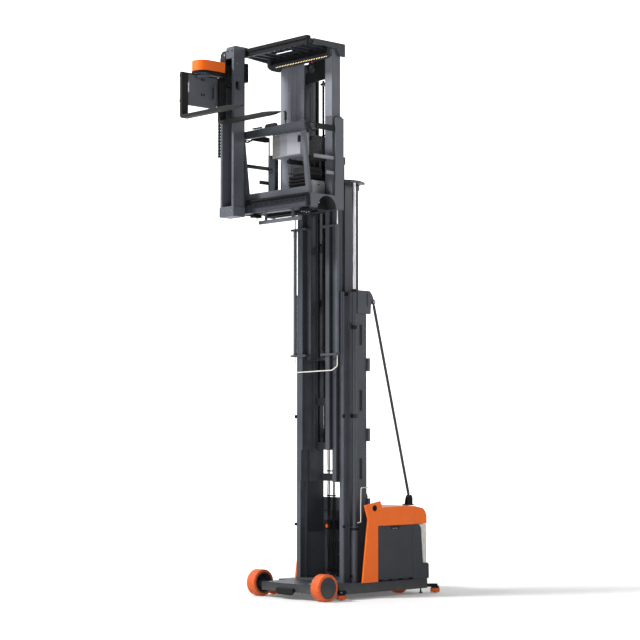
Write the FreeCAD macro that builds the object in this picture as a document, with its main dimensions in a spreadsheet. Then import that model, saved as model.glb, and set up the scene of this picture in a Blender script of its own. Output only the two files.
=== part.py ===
"""Three-way very-narrow-aisle forklift with a rising operator cab, as separate jointed pieces.

Every size is in millimetres. While the pieces are made, X points forward to the load side from
the load wheels' axle, Y points to the truck's left and Z up from the floor. At the end all pieces
move together, so that the origin is the middle of the truck's outline on the floor.
"""
import FreeCAD, Part
import math
import os
import re
import Sketcher

# --------------------------------------------------------------------------------------------
# Driving dimensions
# --------------------------------------------------------------------------------------------
SIZES = {
    # load wheels, drive wheels and guide rollers
    "wheel_radius": 190, "wheel_width": 170, "hub_radius": 152, "track_half": 680,
    "axle_radius": 30, "running_gap": 0.05, "seat_gap": 0.3, "clear_gap": 6,
    "drive_radius": 180, "drive_width": 110, "drive_hub_radius": 130,
    "drive_place": -1770, "drive_half": 400, "kingpin_radius": 50,
    "roller_radius": 70, "roller_height": 60, "roller_floor": 12, "roller_pin": 12,
    "front_roller_place": -300, "rear_roller_place": -2220, "roller_half": 715,
    # chassis and body
    "deck_front": 100, "deck_half": 530, "deck_top": 220, "deck_plate": 30, "deck_bottom": 100,
    "base_front": -400, "base_rear": -2050, "base_half": 720, "base_bottom": 78,
    "side_beam": 60, "floor_rear": -1560, "bridge_top": 500, "bridge_plate": 30,
    "cover_plate": 30, "band_bottom": 1020, "band_top": 1285, "column_top": 1375,
    "column_rear": -1030, "hood_split": -1790, "door_bottom": 250, "panel_gap": 6,
    "hinge_inset": 12, "hinge_drop": 8, "hinge_barrel": 10, "hinge_pin": 5, "hinge_half": 40,
    "door_split": -1740, "bulkhead_front": -1140, "bulkhead_plate": 20, "bulkhead_top": 1090,
    "port_radius": 30,
    # mast sections, counted from the fixed one
    "mast_foot": 220, "mast_top": 4390, "mast_front": -551, "mast_rear": -1050,
    "rail_rear": -690, "flange": 20, "web": 16, "rail_width": 79, "rail_pitch": 85,
    "rail_outer": 495, "tie_plate": 40, "rear_tie": 45, "tie_height": 190,
    "second_front": -487.5, "second_rear": -992, "second_foot": 1650, "second_top": 6015,
    "third_front": -433.5, "third_rear": -795, "third_foot": 2110, "third_top": 6390,
    "fourth_front": -520, "fourth_rear": -740, "fourth_foot": 3420, "fourth_top": 7700,
    "guide_wheel": 48, "bar_height": 110,
    "lift_place": -713, "lift_half": 553, "barrel_radius": 34, "pot_radius": 52, "pot_top": 980,
    "rod_radius": 25, "rod_gap": 1, "rod_foot": 1900, "cap_plate": 35, "cap_length": 180,
    "front_cylinder_place": -475, "front_cylinder_half": 451, "front_cylinder_radius": 28,
    "front_cylinder_foot": 3480, "front_cylinder_head": 5360, "front_rod_radius": 11,
    "front_rod_top": 7450, "clamp_front": -412, "clamp_plate": 16, "clamp_height": 30,
    "line_radius": 8, "line_bend": 45, "line_drop": 240, "line_front": -418,
    "gusset_plate": 20, "stay_top_place": -1180, "stay_top_height": 4270,
    "stay_foot_place": -1925, "stay_foot_height": 1400, "stay_half": 473.5, "stay_radius": 17,
    "stay_eye": 26, "stay_pin": 12, "stay_fork": 22, "stay_seat": 1305,
    # operator cab
    "cab_floor": 5640, "cab_half": 740, "cab_rear": -330, "cab_front": 310, "floor_plate": 40,
    "cab_frame": 60, "side_skin": 12, "skirt_bottom": 5530, "skirt_top": 5725,
    "arch_radius": 178, "side_top": 6850, "roof_top": 7930, "roof_plate": 25,
    "roof_front": 365, "roof_rear": -360, "roof_rib": 35, "post_depth": 160, "post_width": 150,
    "post_rear": -300, "post_half": 700, "wall_plate": 30, "wall_right": -570,
    "wall_left": -50, "header_bottom": 7440, "light_beam_place": -120,
    "panel_top": 6750, "panel_bottom": 6605, "panel_front": 400, "panel_half": 690,
    "sill_front": 310, "sill_top": 5830, "console_bottom": 6290, "console_top": 6620,
    "console_depth": 200, "console_right": -70, "console_left": 540,
    "seat_height": 6150, "gate_half": 714, "gate_pivot_place": -190, "gate_pivot_height": 6110,
    "gate_tube": 11, "gate_reach": 490, "handrail_height": 6720, "middle_bar_height": 6265,
    "lower_bar_height": 6050,
    "carriage_half": 138, "carriage_rear": -660, "carriage_foot": 5550, "carriage_top": 6680,
    # turret: traverse rails, small mast, arm and fork head
    "rail_back": 370, "rail_front": 420, "rail_half": 765, "upper_rail_bottom": 7830,
    "upper_rail_top": 7950, "lower_rail_bottom": 5640, "lower_rail_top": 5720,
    "turret_middle": -700, "turret_half": 150, "turret_back": 430, "turret_front": 640,
    "turret_foot": 5480, "turret_block": 150, "turret_top": 7930, "turret_wall": 45,
    "arm_bottom": 7515, "arm_plate": 25, "arm_front": 810, "arm_root": 85, "cover_top": 7690,
    "arm_radius": 160, "skin": 6,
    "pivot_place": 1100, "pivot_radius": 45, "head_plate": 25, "head_top": 7480,
    "head_bottom": 7030, "fork_spread": 700, "fork_width": 120, "fork_thick": 50,
    "fork_bottom": 6820, "fork_top": 7490, "fork_reach": 1300, "fork_tip": 15,
}

doc = FreeCAD.newDocument("three_way_forklift")
sheet = doc.addObject("Spreadsheet::Sheet", "Sizes")
for row, (word, size) in enumerate(SIZES.items(), 1):
    sheet.set(f"A{row}", word)
    sheet.set(f"B{row}", str(size))
    sheet.setAlias(f"B{row}", word)
doc.recompute()

NODES = []
HINGES = (-1600, -1390, -1180)


# --------------------------------------------------------------------------------------------
# Small tools for making pieces from formulas
# --------------------------------------------------------------------------------------------
def linked(formula):
    """Return the formula with each size's name turned into its cell in the sheet."""
    def cell(match):
        word = match.group()
        return f"Sizes.{word}" if word in SIZES else word
    return re.sub(r"[a-z_]+", cell, str(formula))


def amount(formula):
    """Return the formula's value now."""
    return float(sheet.evalExpression(linked(formula)))


def tie(piece, field, formula):
    """Bind one field of a piece to a formula."""
    piece.setExpression(field, linked(formula))


def locate(piece, x, y, z):
    """Bind the place of a piece's own origin."""
    for axis, formula in zip("xyz", (x, y, z)):
        tie(piece, f"Placement.Base.{axis}", formula)


def span(pair):
    """Return the formula for the distance between two places."""
    return f"({pair[1]}) - ({pair[0]})"


def middle(pair):
    """Return the formula for the place halfway between two places."""
    return f"(({pair[0]}) + ({pair[1]})) / 2"


def both(half):
    """Return the pair of places that lie the same distance each side of the middle."""
    return (f"-({half})", half)


def block(x, y, z):
    """Make a box between pairs of places along each axis."""
    piece = doc.addObject("Part::Box", "block")
    for field, pair in (("Length", x), ("Width", y), ("Height", z)):
        tie(piece, field, span(pair))
    locate(piece, x[0], y[0], z[0])
    return piece


TURNS = {
    "X": FreeCAD.Rotation(FreeCAD.Vector(0, 1, 0), 90),
    "Y": FreeCAD.Rotation(FreeCAD.Vector(1, 0, 0), -90),
    "Z": FreeCAD.Rotation(),
}


def spot(axis, along, centre):
    """Return x, y, z formulas of a point: one place along the axis, two across it."""
    across = list(centre)
    across.insert("XYZ".index(axis), along)
    return across


def rod(axis, centre, radius, pair):
    """Make a round bar along an axis; centre holds its two other coordinates in order."""
    piece = doc.addObject("Part::Cylinder", "rod")
    piece.Placement = FreeCAD.Placement(FreeCAD.Vector(), TURNS[axis])
    tie(piece, "Radius", radius)
    tie(piece, "Height", span(pair))
    locate(piece, *spot(axis, pair[0], centre))
    return piece


def closed_sketch(body, plane, points):
    """Draw a closed outline on one of a body's own planes, with every corner bound to formulas."""
    sketch = body.newObject("Sketcher::SketchObject", "outline")
    face = next(f for f in body.Origin.OriginFeatures if f.Role == f"{plane}_Plane")
    sketch.AttachmentSupport = (face, [""])
    sketch.MapMode = "FlatFace"
    corners = [FreeCAD.Vector(amount(a), amount(b), 0) for a, b in points]
    ends = corners[1:] + corners[:1]
    sketch.addGeometry([Part.LineSegment(*pair) for pair in zip(corners, ends)], False)
    for i in range(len(corners)):
        sketch.addConstraint(Sketcher.Constraint("Coincident", i, 2, (i + 1) % len(corners), 1))
    for i, formulas in enumerate(points):
        for kind, formula in zip(("DistanceX", "DistanceY"), formulas):
            limit = Sketcher.Constraint(kind, -1, 1, i, 1, amount(formula))
            tie(sketch, f"Constraints[{sketch.addConstraint(limit)}]", formula)
    return sketch


def outline(plane, points, pair):
    """Pad a closed outline of (first, second) places across its plane, between two places."""
    body = doc.addObject("PartDesign::Body", "plate")
    sketch = closed_sketch(body, plane, points)
    sign = "-" if plane == "XZ" else ""
    tie(sketch, "AttachmentOffset.Base.z", f"{sign}{middle(pair)}")
    pad = body.newObject("PartDesign::Pad", "pad")
    pad.Profile = sketch
    pad.SideType = "Symmetric"
    tie(pad, "Length", span(pair))
    return body


def turned(axis, centre, points):
    """Revolve a profile of (radius, place along the axis) points about an axis."""
    body = doc.addObject("PartDesign::Body", "turned")
    sketch = closed_sketch(body, "XZ", points)
    turn = body.newObject("PartDesign::Revolution", "turn")
    turn.Profile = sketch
    turn.ReferenceAxis = (sketch, ["V_Axis"])
    turn.Angle = 360
    body.Placement = FreeCAD.Placement(FreeCAD.Vector(), TURNS[axis])
    locate(body, *spot(axis, "0", centre))
    return body


def tube(points, radius, bend):
    """Make a formed pipe of straight runs between the points, joined by arcs of one radius."""
    places = [FreeCAD.Vector(*map(amount, point)) for point in points]
    round_by = amount(bend)
    edges, start = [], places[0]
    for before, corner, after in zip(places, places[1:], places[2:]):
        back, ahead = (before - corner).normalize(), (after - corner).normalize()
        half_turn = back.getAngle(ahead) / 2
        first, last = (corner + way * (round_by / math.tan(half_turn)) for way in (back, ahead))
        inward = (back + ahead).normalize() * (round_by / math.sin(half_turn) - round_by)
        edges += [Part.LineSegment(start, first), Part.Arc(first, corner + inward, last)]
        start = last
    edges.append(Part.LineSegment(start, places[-1]))
    path = Part.Wire([edge.toShape() for edge in edges])
    ring = Part.Circle(places[0], places[1] - places[0], amount(radius)).toShape()
    piece = doc.addObject("Part::Feature", "tube")
    piece.Shape = path.makePipeShell([Part.Wire(ring)], True, True)
    return piece


def joined(*pieces):
    """Weld pieces into one."""
    weld = doc.addObject("Part::MultiFuse", "weld")
    weld.Shapes = list(pieces)
    weld.Refine = True
    return weld


def without(base, *tools):
    """Cut tools out of a piece."""
    cut = doc.addObject("Part::Cut", "cut")
    cut.Base = base
    cut.Tool = tools[0] if len(tools) == 1 else joined(*tools)
    return cut


def set_of(*pieces):
    """Hold separate pieces that share one node."""
    group = doc.addObject("Part::Compound", "set")
    group.Links = list(pieces)
    return group


def mirrored(source):
    """Make the same piece on the other side of the truck."""
    copy = doc.addObject("Part::Mirroring", "mirror")
    copy.Source = source
    copy.Normal = FreeCAD.Vector(0, 1, 0)
    return copy


def node(name, piece):
    """Give a finished piece its name and a holder whose Placement moves it as a whole."""
    holder = set_of(piece) if piece.TypeId != "Part::Compound" else piece
    holder.Label = name
    NODES.append(holder)


def pair_of(name, left):
    """Name a piece on the left and its mirror image on the right."""
    node(f"{name}_left", left)
    node(f"{name}_right", mirrored(left))


def both_sides(left):
    """Return a piece and its mirror image."""
    return left, mirrored(left)


# --------------------------------------------------------------------------------------------
# Chassis
# --------------------------------------------------------------------------------------------
def make_chassis():
    """Make the welded chassis with its deck, side beams and load axles."""
    beam = ("base_half - side_beam", "base_half")
    base = ("base_bottom", "deck_top")
    plate = ("deck_top - deck_plate", "deck_top")
    kingpin_hole = rod("Z", ("drive_place", "drive_half"), "kingpin_radius + running_gap",
                       ("bridge_top - 2 * bridge_plate", "bridge_top + bridge_plate"))
    hinge = ("base_half - hinge_inset", "door_bottom - hinge_drop")
    lugs = []
    for place in HINGES:
        for low in (f"{place} - hinge_half - 16", f"{place} + hinge_half + 1"):
            lugs += both_sides(block((low, f"{low} + 15"), (f"{hinge[0]} - 7", f"{hinge[0]} + 7"),
                                     ("deck_top - 5", hinge[1])))
        lugs += both_sides(rod("X", hinge, "hinge_pin", (f"{place} - hinge_half - 16",
                                                         f"{place} + hinge_half + 16")))
    frame = joined(
        *lugs,
        block(("base_front - side_beam", "deck_front"), both("deck_half"), plate),
        block(("0", "deck_front"), both("deck_half"), ("deck_bottom", "deck_top")),
        *both_sides(block(("base_front - side_beam", "deck_front"),
                          ("deck_half - 80", "deck_half"), ("deck_bottom", "deck_top"))),
        *both_sides(block(("base_rear", "base_front"), beam, base)),
        block(("base_front - side_beam", "base_front"), both("base_half"), base),
        block(("base_rear", "base_rear + side_beam"), both("base_half"), base),
        block(("floor_rear", "base_front"), both("base_half"), plate),
        block(("base_rear + side_beam", "floor_rear"), both("base_half - side_beam"),
              ("bridge_top - bridge_plate", "bridge_top")),
        *both_sides(block(("base_rear + side_beam", "floor_rear"),
                          ("base_half - side_beam - deck_plate", "base_half - side_beam"),
                          ("base_bottom", "bridge_top"))),
    )
    node("chassis_frame", without(frame, *both_sides(kingpin_hole)))
    node("front_sensor_block", outline("YZ", [
        ("-180", "155"), ("-180", "100"), ("-140", "60"), ("140", "60"), ("180", "100"),
        ("180", "155")], ("deck_front", "deck_front + 45")))
    flange = block(("-70", "70"), ("deck_half", "deck_half + 15"),
                   ("wheel_radius - 70", "wheel_radius + 30"))
    pin = rod("Y", ("0", "wheel_radius"), "axle_radius",
              ("deck_half", "track_half + wheel_width / 2 - 40"))
    node("load_axles", set_of(*both_sides(joined(flange, pin))))
    node("battery_block", block(("floor_rear + 10", "bulkhead_front - bulkhead_plate - 20"),
                                both("600"), ("deck_top", "970")))


def wheel(half, radius, width, hub, place):
    """Make a left wheel's tyre and its hub, which is blind over the end of its stub axle."""
    bore = "axle_radius + running_gap"
    shoulder = "12"
    low, high = f"{half} - {width} / 2", f"{half} + {width} / 2"
    tyre = turned("Y", (place, radius), [
        (hub, low), (f"{radius} - {shoulder}", low), (radius, f"{low} + {shoulder}"),
        (radius, f"{high} - {shoulder}"), (f"{radius} - {shoulder}", high), (hub, high)])
    rim, boss = f"{hub} - 22", f"{bore} + 30"
    hub_body = turned("Y", (place, radius), [
        (bore, f"{low} + 8"), (boss, f"{low} + 8"), (boss, f"{high} - 45"),
        (rim, f"{high} - 45"), (rim, f"{low} + 3"), (hub, f"{low} + 3"), (hub, f"{high} - 3"),
        (f"{hub} - 4", f"{high} - 1"), ("0", f"{high} - 1"), ("0", f"{high} - 30"),
        (bore, f"{high} - 30")])
    return tyre, hub_body


def make_wheels():
    """Make the load wheels with separate tyres, and the drive wheels as one bonded piece each."""
    tyre, hub = wheel("track_half", "wheel_radius", "wheel_width", "hub_radius", "0")
    pair_of("load_tyre", tyre)
    pair_of("load_hub", hub)
    pair_of("drive_wheel", joined(*wheel(
        "drive_half", "drive_radius", "drive_width", "drive_hub_radius", "drive_place")))


def make_drive_units():
    """Make the two steered drive units that carry the drive wheels from the inboard side."""
    leg = ("drive_half - drive_width / 2 - 38", "drive_half - drive_width / 2 - 8")
    table = ("2 * drive_radius + 25", "2 * drive_radius + 50")
    unit = joined(
        rod("Z", ("drive_place", "drive_half"), "drive_radius - 40", table),
        rod("Z", ("drive_place", "drive_half"), "kingpin_radius",
            ("2 * drive_radius + 25", "bridge_top + 15")),
        block(("drive_place - 70", "drive_place + 70"), leg,
              ("drive_radius - 60", "2 * drive_radius + 50")),
        rod("Y", ("drive_place", "drive_radius"), "axle_radius",
            (leg[0], "drive_half + drive_width / 2 - 40")))
    pair_of("drive_unit", unit)


def make_guide_rollers():
    """Make the four level rollers that run on the aisle's guide rails, and their brackets."""
    low, high = "roller_floor", "roller_floor + roller_height"
    brackets = []
    for end, place in (("front", "front_roller_place"), ("rear", "rear_roller_place")):
        roller = turned("Z", (place, "roller_half"), [
            ("roller_pin + running_gap", low), ("roller_radius - 6", low),
            ("roller_radius", f"{low} + 6"), ("roller_radius", f"{high} - 6"),
            ("roller_radius - 6", high), ("roller_pin + running_gap", high)])
        pair_of(f"guide_roller_{end}", roller)
        pin = rod("Z", (place, "roller_half"), "roller_pin", (f"{low} - 8", f"{high} + 30"))
        foot = rod("Z", (place, "roller_half"), "roller_pin + 14",
                   (f"{low} - 8 ", f"{low} - seat_gap"))
        cap = rod("Z", (place, "roller_half"), "roller_radius - 12",
                  (f"{high} + seat_gap", f"{high} + 30"))
        if end == "front":
            arm = block(("base_front", f"{place} + 20"), ("roller_half - 60", "roller_half - 5"),
                        (f"{high} + 18", f"{high} + 60"))
        else:
            arm = outline("XY", [
                (f"{place} - 30", "roller_half + 25"), (f"{place} - 30", "roller_half - 45"),
                ("base_rear", "base_half - 170"), ("base_rear", "base_half - 40"),
                (f"{place} + 45", "roller_half + 25")], (f"{high} + 18", f"{high} + 60"))
        brackets += both_sides(joined(pin, foot, cap, arm))
    node("guide_brackets", set_of(*brackets))


# --------------------------------------------------------------------------------------------
# Body covers
# --------------------------------------------------------------------------------------------
def make_body():
    """Make the battery, its doors, the hoods, the bulkhead and the tail's panels."""
    outer = ("base_half - cover_plate", "base_half")
    node("bulkhead", block(("bulkhead_front - bulkhead_plate", "bulkhead_front"),
                           both("base_half - cover_plate - 1"), ("deck_top", "bulkhead_top")))
    side = outline("XZ", [
        ("-720", "deck_top"), ("column_rear", "deck_top"), ("column_rear", "band_bottom"),
        ("hood_split", "band_bottom"), ("hood_split", "band_top"), ("-1400", "band_top + 8"),
        ("-1340", "band_top"), ("-1115", "band_top - 4"), ("-1080", "column_top"),
        ("-770", "column_top - 55"), ("-835", "column_top - 255")], outer)
    port = rod("Y", ("-960", "column_top - 100"), "port_radius",
               ("base_half - cover_plate - 5", "base_half + 5"))
    node("side_covers", set_of(*both_sides(without(side, port))))
    node("hood_top", outline("YZ", [
        ("-690", "band_top - 32"), ("690", "band_top - 32"), ("690", "band_top - 12"),
        ("560", "band_top + 6"), ("-560", "band_top + 6"), ("-690", "band_top - 12")],
        ("hood_split", "mast_rear - rear_tie - panel_gap")))
    shell = outline("XZ", [
        ("base_rear", "band_bottom"), ("hood_split - 4", "band_bottom"),
        ("hood_split - 4", "band_top"), ("-1975", "band_top"), ("-2020", "band_top - 35"),
        ("base_rear", "band_top - 85")], both("base_half"))
    hollow = outline("XZ", [
        ("base_rear + 15", "band_bottom - 15"), ("hood_split + 15", "band_bottom - 15"),
        ("hood_split + 15", "band_top - 15"), ("-1970", "band_top - 15"),
        ("-2010", "band_top - 48"), ("base_rear + 15", "band_top - 95")],
        both("base_half - cover_plate"))
    node("rear_hood", without(shell, hollow))
    grip = outline("XZ", [
        ("-1265", "band_bottom"), ("-1300", "band_bottom - 60"), ("-1450", "band_bottom - 60"),
        ("-1485", "band_bottom")], ("base_half - 14", "base_half + 5"))
    door = block(("door_split", "column_rear - panel_gap"), outer,
                 ("door_bottom", "band_bottom - panel_gap"))
    hinge = ("base_half - hinge_inset", "door_bottom - hinge_drop")
    barrels = [rod("X", hinge, "hinge_barrel", (f"{place} - hinge_half", f"{place} + hinge_half"))
               for place in HINGES]
    bore = rod("X", hinge, "hinge_pin + running_gap", ("door_split", "column_rear"))
    pair_of("battery_door", without(joined(door, *barrels), grip, bore))
    corner = outline("XZ", [
        ("base_rear + 6", "deck_top"), ("door_split - panel_gap", "deck_top"),
        ("door_split - panel_gap", "band_bottom - panel_gap"), ("-1885", "band_bottom - panel_gap"),
        ("-1925", "band_bottom - 55"), ("-1945", "band_bottom - 320"),
        ("-1965", "450"), ("base_rear + 6", "450")], ("base_half - 14", "base_half"))
    node("rear_corner_panels", set_of(*both_sides(corner)))
    back = block(("base_rear", "base_rear + 25"), both("base_half - 16"),
                 ("450", "band_bottom - panel_gap"))
    wings = both_sides(block(("base_rear", "door_split - 40"),
                             ("base_half - 36", "base_half - 16"),
                             ("deck_top", "band_bottom - panel_gap")))
    node("rear_panel", joined(back, *wings))
    node("rear_bumper", outline("YZ", [
        ("-720", "deck_top"), ("720", "deck_top"), ("720", "430"), ("690", "450"),
        ("-690", "450"), ("-720", "430")], ("base_rear - 40", "base_rear")))


# --------------------------------------------------------------------------------------------
# Mast
# --------------------------------------------------------------------------------------------
def rail(number, front, foot, top):
    """Make the left rail of one mast section; each section lies one pitch further in."""
    outer = f"rail_outer - {number} * rail_pitch"
    inner = f"{outer} - rail_width"
    web_low = f"{outer} - rail_width / 2 - web / 2"
    height = (foot, top)
    return joined(
        block((f"{front} - flange", front), (inner, outer), height),
        block(("rail_rear", "rail_rear + flange"), (inner, outer), height),
        block(("rail_rear", front), (web_low, f"{web_low} + web"), height))


def guide_wheels(number, foot):
    """Make the left guide wheels on one section, which run in the rail outside it."""
    web_face = f"rail_outer - {number} * rail_pitch - rail_width / 2 + web / 2"
    next_web = f"rail_outer - ({number} - 1) * rail_pitch - rail_width / 2 - web / 2"
    centre = "rail_rear + flange + guide_wheel + seat_gap"
    return [rod("Y", (centre, f"{foot} + {rise}"), "guide_wheel",
                (f"{web_face} - 4", f"{next_web} - clear_gap")) for rise in (90, 620)]


def mast_section(number, front, rear, foot, top, bars):
    """Make one moving mast section: two rails, side plates, cross bars and guide wheels."""
    web_low = f"rail_outer - {number} * rail_pitch - rail_width / 2 - web / 2"
    plate = block((f"{rear} + tie_plate / 2", "rail_rear"), (web_low, f"{web_low} + web"),
                  (foot, top))
    cross = [block((rear, f"{rear} + tie_plate"), both(f"{web_low} + web"),
                   (f"{low}", f"{low} + bar_height")) for low in bars]
    left = [rail(number, front, foot, top), plate, *guide_wheels(number, foot)]
    return joined(*left, *[mirrored(piece) for piece in left], *cross)


def make_fixed_mast():
    """Make the fixed mast: its rails and side plates, rear ties, foot and stay gussets."""
    outer_web = "rail_outer - rail_width / 2 - web / 2"
    side = block(("mast_rear", "rail_rear"), (outer_web, f"{outer_web} + web"),
                 ("mast_foot", "mast_top"))
    slots = [block(("mast_rear + 90", "mast_rear + 150"),
                   (f"{outer_web} - 5", f"{outer_web} + web + 5"), (low, f"{low} + 300"))
             for low in ("1690", "2680", "3630")]
    ties = [block(("mast_rear - rear_tie", "mast_rear"), both("rail_outer"),
                  (f"{place} - tie_height / 2", f"{place} + tie_height / 2"))
            for place in ("1315", "2330", "3350", "4295")]
    foot = block(("mast_rear - rear_tie", "mast_front"), both("rail_outer"),
                 ("mast_foot", "mast_foot + 25"))
    bracket_out = f"{outer_web} + web"
    gusset = outline("XZ", [
        ("-855", "mast_top + 40"), ("-1100", "mast_top + 40"), ("-1150", "mast_top - 5"),
        ("stay_top_place - 18", "stay_top_height + 12"),
        ("stay_top_place - 18", "stay_top_height - 12"),
        ("stay_top_place - 10", "stay_top_height - 19"),
        ("stay_top_place + 12", "stay_top_height - 19"), ("-1130", "mast_top - 160"),
        ("-1120", "mast_top - 300"), ("-855", "mast_top - 300")],
        (bracket_out, f"{bracket_out} + gusset_plate"))
    eye = rod("Y", ("stay_top_place", "stay_top_height"), "stay_pin + running_gap",
              ("rail_outer - 60", "rail_outer + 60"))
    left = [rail(0, "mast_front", "mast_foot", "mast_top"), without(side, joined(*slots)),
            without(gusset, eye)]
    node("fixed_mast", joined(*left, *[mirrored(piece) for piece in left], *ties, foot))


def make_lift_cylinders():
    """Make the main lift cylinders' barrels beside the fixed mast, open at the top for a rod."""
    around = ("lift_place", "lift_half")
    barrel = joined(
        rod("Z", around, "pot_radius", ("deck_top", "pot_top")),
        rod("Z", around, "pot_radius + 4", ("pot_top", "pot_top + 35")),
        rod("Z", around, "barrel_radius", ("pot_top + 35", "mast_top + 40")),
        *[block(("lift_place - 45", "rail_rear - seat_gap"),
                ("rail_outer - rail_width / 2 + web / 2", "lift_half + barrel_radius + 6"),
                (low, f"{low} + 55")) for low in ("600", "2580", "3890")])
    bore = rod("Z", around, "rod_radius + rod_gap", ("deck_top + 30", "mast_top + 45"))
    node("lift_cylinders", set_of(*both_sides(without(barrel, bore))))


def make_stays():
    """Make the two long stays that brace the mast's top to the truck's tail, and their feet."""
    ends = [("stay_top_place", "stay_top_height"), ("stay_foot_place", "stay_foot_height")]
    start, end = [FreeCAD.Vector(amount(x), amount("stay_half"), amount(z)) for x, z in ends]
    run = (end - start).normalize() * amount("stay_eye")
    bar = doc.addObject("Part::Cylinder", "stay_bar")
    bar.Placement = FreeCAD.Placement(
        start + run, FreeCAD.Rotation(FreeCAD.Vector(0, 0, 1), end - start))
    tie(bar, "Radius", "stay_radius")
    bar.Height = (end - start).Length - 2 * run.Length
    parts = [bar]
    wide = ("stay_half - stay_fork", "stay_half + stay_fork")
    gap = ("stay_half - gusset_plate / 2 - seat_gap", "stay_half + gusset_plate / 2 + seat_gap")
    around = ("stay_top_place - 2 * stay_eye", "stay_top_place + 2 * stay_eye")
    slots = [joined(block(("stay_top_place + 8", around[1]), gap,
                          ("stay_top_height - 2 * stay_eye", "stay_top_height + 2 * stay_eye")),
                    block(around, gap, ("stay_top_height + 8", "stay_top_height + 2 * stay_eye"))),
             block(("stay_foot_place - 2 * stay_eye", "stay_foot_place + 2 * stay_eye"), gap,
                   ("stay_foot_height - 2 * stay_eye", "stay_foot_height - 8"))]
    for centre, slot in zip(ends, slots):
        fork = without(rod("Y", centre, "stay_eye + 6", wide), slot,
                       rod("Y", centre, "stay_eye - 4", gap))
        parts += [fork, rod("Y", centre, "stay_pin", wide)]
    lug = outline("XZ", [
        ("stay_foot_place + 34", "stay_seat"), ("stay_foot_place + 16", "stay_foot_height + 14"),
        ("stay_foot_place - 16", "stay_foot_height + 14"), ("stay_foot_place - 30", "stay_seat")],
        ("stay_half - gusset_plate / 2", "stay_half + gusset_plate / 2"))
    pad = block(("stay_foot_place - 40", "stay_foot_place + 85"),
                ("stay_half - 60", "stay_half + 60"), ("band_top + seat_gap", "stay_seat + 1"))
    eye = rod("Y", ends[1], "stay_pin + running_gap", ("stay_half - 60", "stay_half + 60"))
    node("mast_stays", set_of(*both_sides(joined(*parts)), *both_sides(without(joined(lug, pad), eye))))


def make_mast():
    """Make the fixed mast with its cylinders and stays, and the three sections inside it."""
    make_fixed_mast()
    make_lift_cylinders()
    make_stays()
    second = mast_section(1, "second_front", "second_rear", "second_foot", "second_top",
                          ("second_foot", "3350", "second_top - bar_height"))
    cap_inside, cap_outside = "rail_outer - rail_pitch - rail_width", "lift_half + barrel_radius"
    cap_front = "front_cylinder_place - front_cylinder_radius - 2 * clear_gap"
    cap = outline("XY", [
        ("second_rear", cap_inside), (cap_front, cap_inside), (cap_front, "rail_outer"),
        ("lift_place + cap_length / 2", cap_outside), ("lift_place - cap_length / 2", cap_outside),
        ("second_rear", "rail_outer")], ("second_top - cap_plate", "second_top"))
    lift_rod = rod("Z", ("lift_place", "lift_half"), "rod_radius",
                   ("rod_foot", "second_top - cap_plate / 2"))
    node("mast_stage_2", joined(second, *both_sides(cap), *both_sides(lift_rod)))
    node("mast_stage_3", mast_section(2, "third_front", "third_rear", "third_foot", "third_top",
                                      ("third_foot", "2760", "4200", "third_top - bar_height")))
    make_inner_mast()


def make_inner_mast():
    """Make the innermost section, the cab's lift cylinders in its clamps and their cross line."""
    fourth = mast_section(3, "fourth_front", "fourth_rear", "fourth_foot", "fourth_top",
                          ("fourth_foot", "5000", "fourth_top - bar_height"))
    inner = "rail_outer - 3 * rail_pitch - rail_width"
    around = ("front_cylinder_place", "front_cylinder_half")
    clamps = []
    for low in ("front_cylinder_foot - 10", "front_cylinder_head - clamp_height",
                "front_rod_top - clamp_height"):
        height = (low, f"{low} + clamp_height")
        clamps += both_sides(block(("fourth_front - 5", "clamp_front"),
                                   (inner, f"{inner} + 60"), height))
        clamps += both_sides(block(("clamp_front - clamp_plate", "clamp_front"),
                                   (inner, "front_cylinder_half + 34"), height))
        clamps += both_sides(block(
            ("front_cylinder_place - 20", "clamp_front"),
            ("front_cylinder_half - 34", "front_cylinder_half + 34"), height))
    bore = joined(
        rod("Z", around, "front_cylinder_radius", ("front_cylinder_foot", "front_cylinder_head + 5")),
        rod("Z", around, "line_radius + running_gap", ("fourth_foot", "front_cylinder_foot + 5")),
        rod("Z", around, "front_rod_radius", ("front_cylinder_head", "front_rod_top + 5")))
    node("mast_stage_4", without(joined(fourth, *clamps), *both_sides(bore)))
    cylinder = joined(
        rod("Z", around, "front_cylinder_radius", ("front_cylinder_foot", "front_cylinder_head")),
        rod("Z", around, "front_rod_radius", ("front_cylinder_head - 5", "front_rod_top")))
    node("cab_lift_cylinders", set_of(*both_sides(cylinder)))
    foot, low = "front_cylinder_foot", "front_cylinder_foot - line_drop"
    node("cylinder_line", tube([
        (*around, foot), (*around, f"{low} + 75"),
        ("line_front", "front_cylinder_half - 50", f"{low} + 15"),
        ("line_front", "-(front_cylinder_half) + 60", f"{low}"),
        ("front_cylinder_place", "-(front_cylinder_half)", f"{low} + 85"),
        ("front_cylinder_place", "-(front_cylinder_half)", foot)], "line_radius", "line_bend"))


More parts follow.
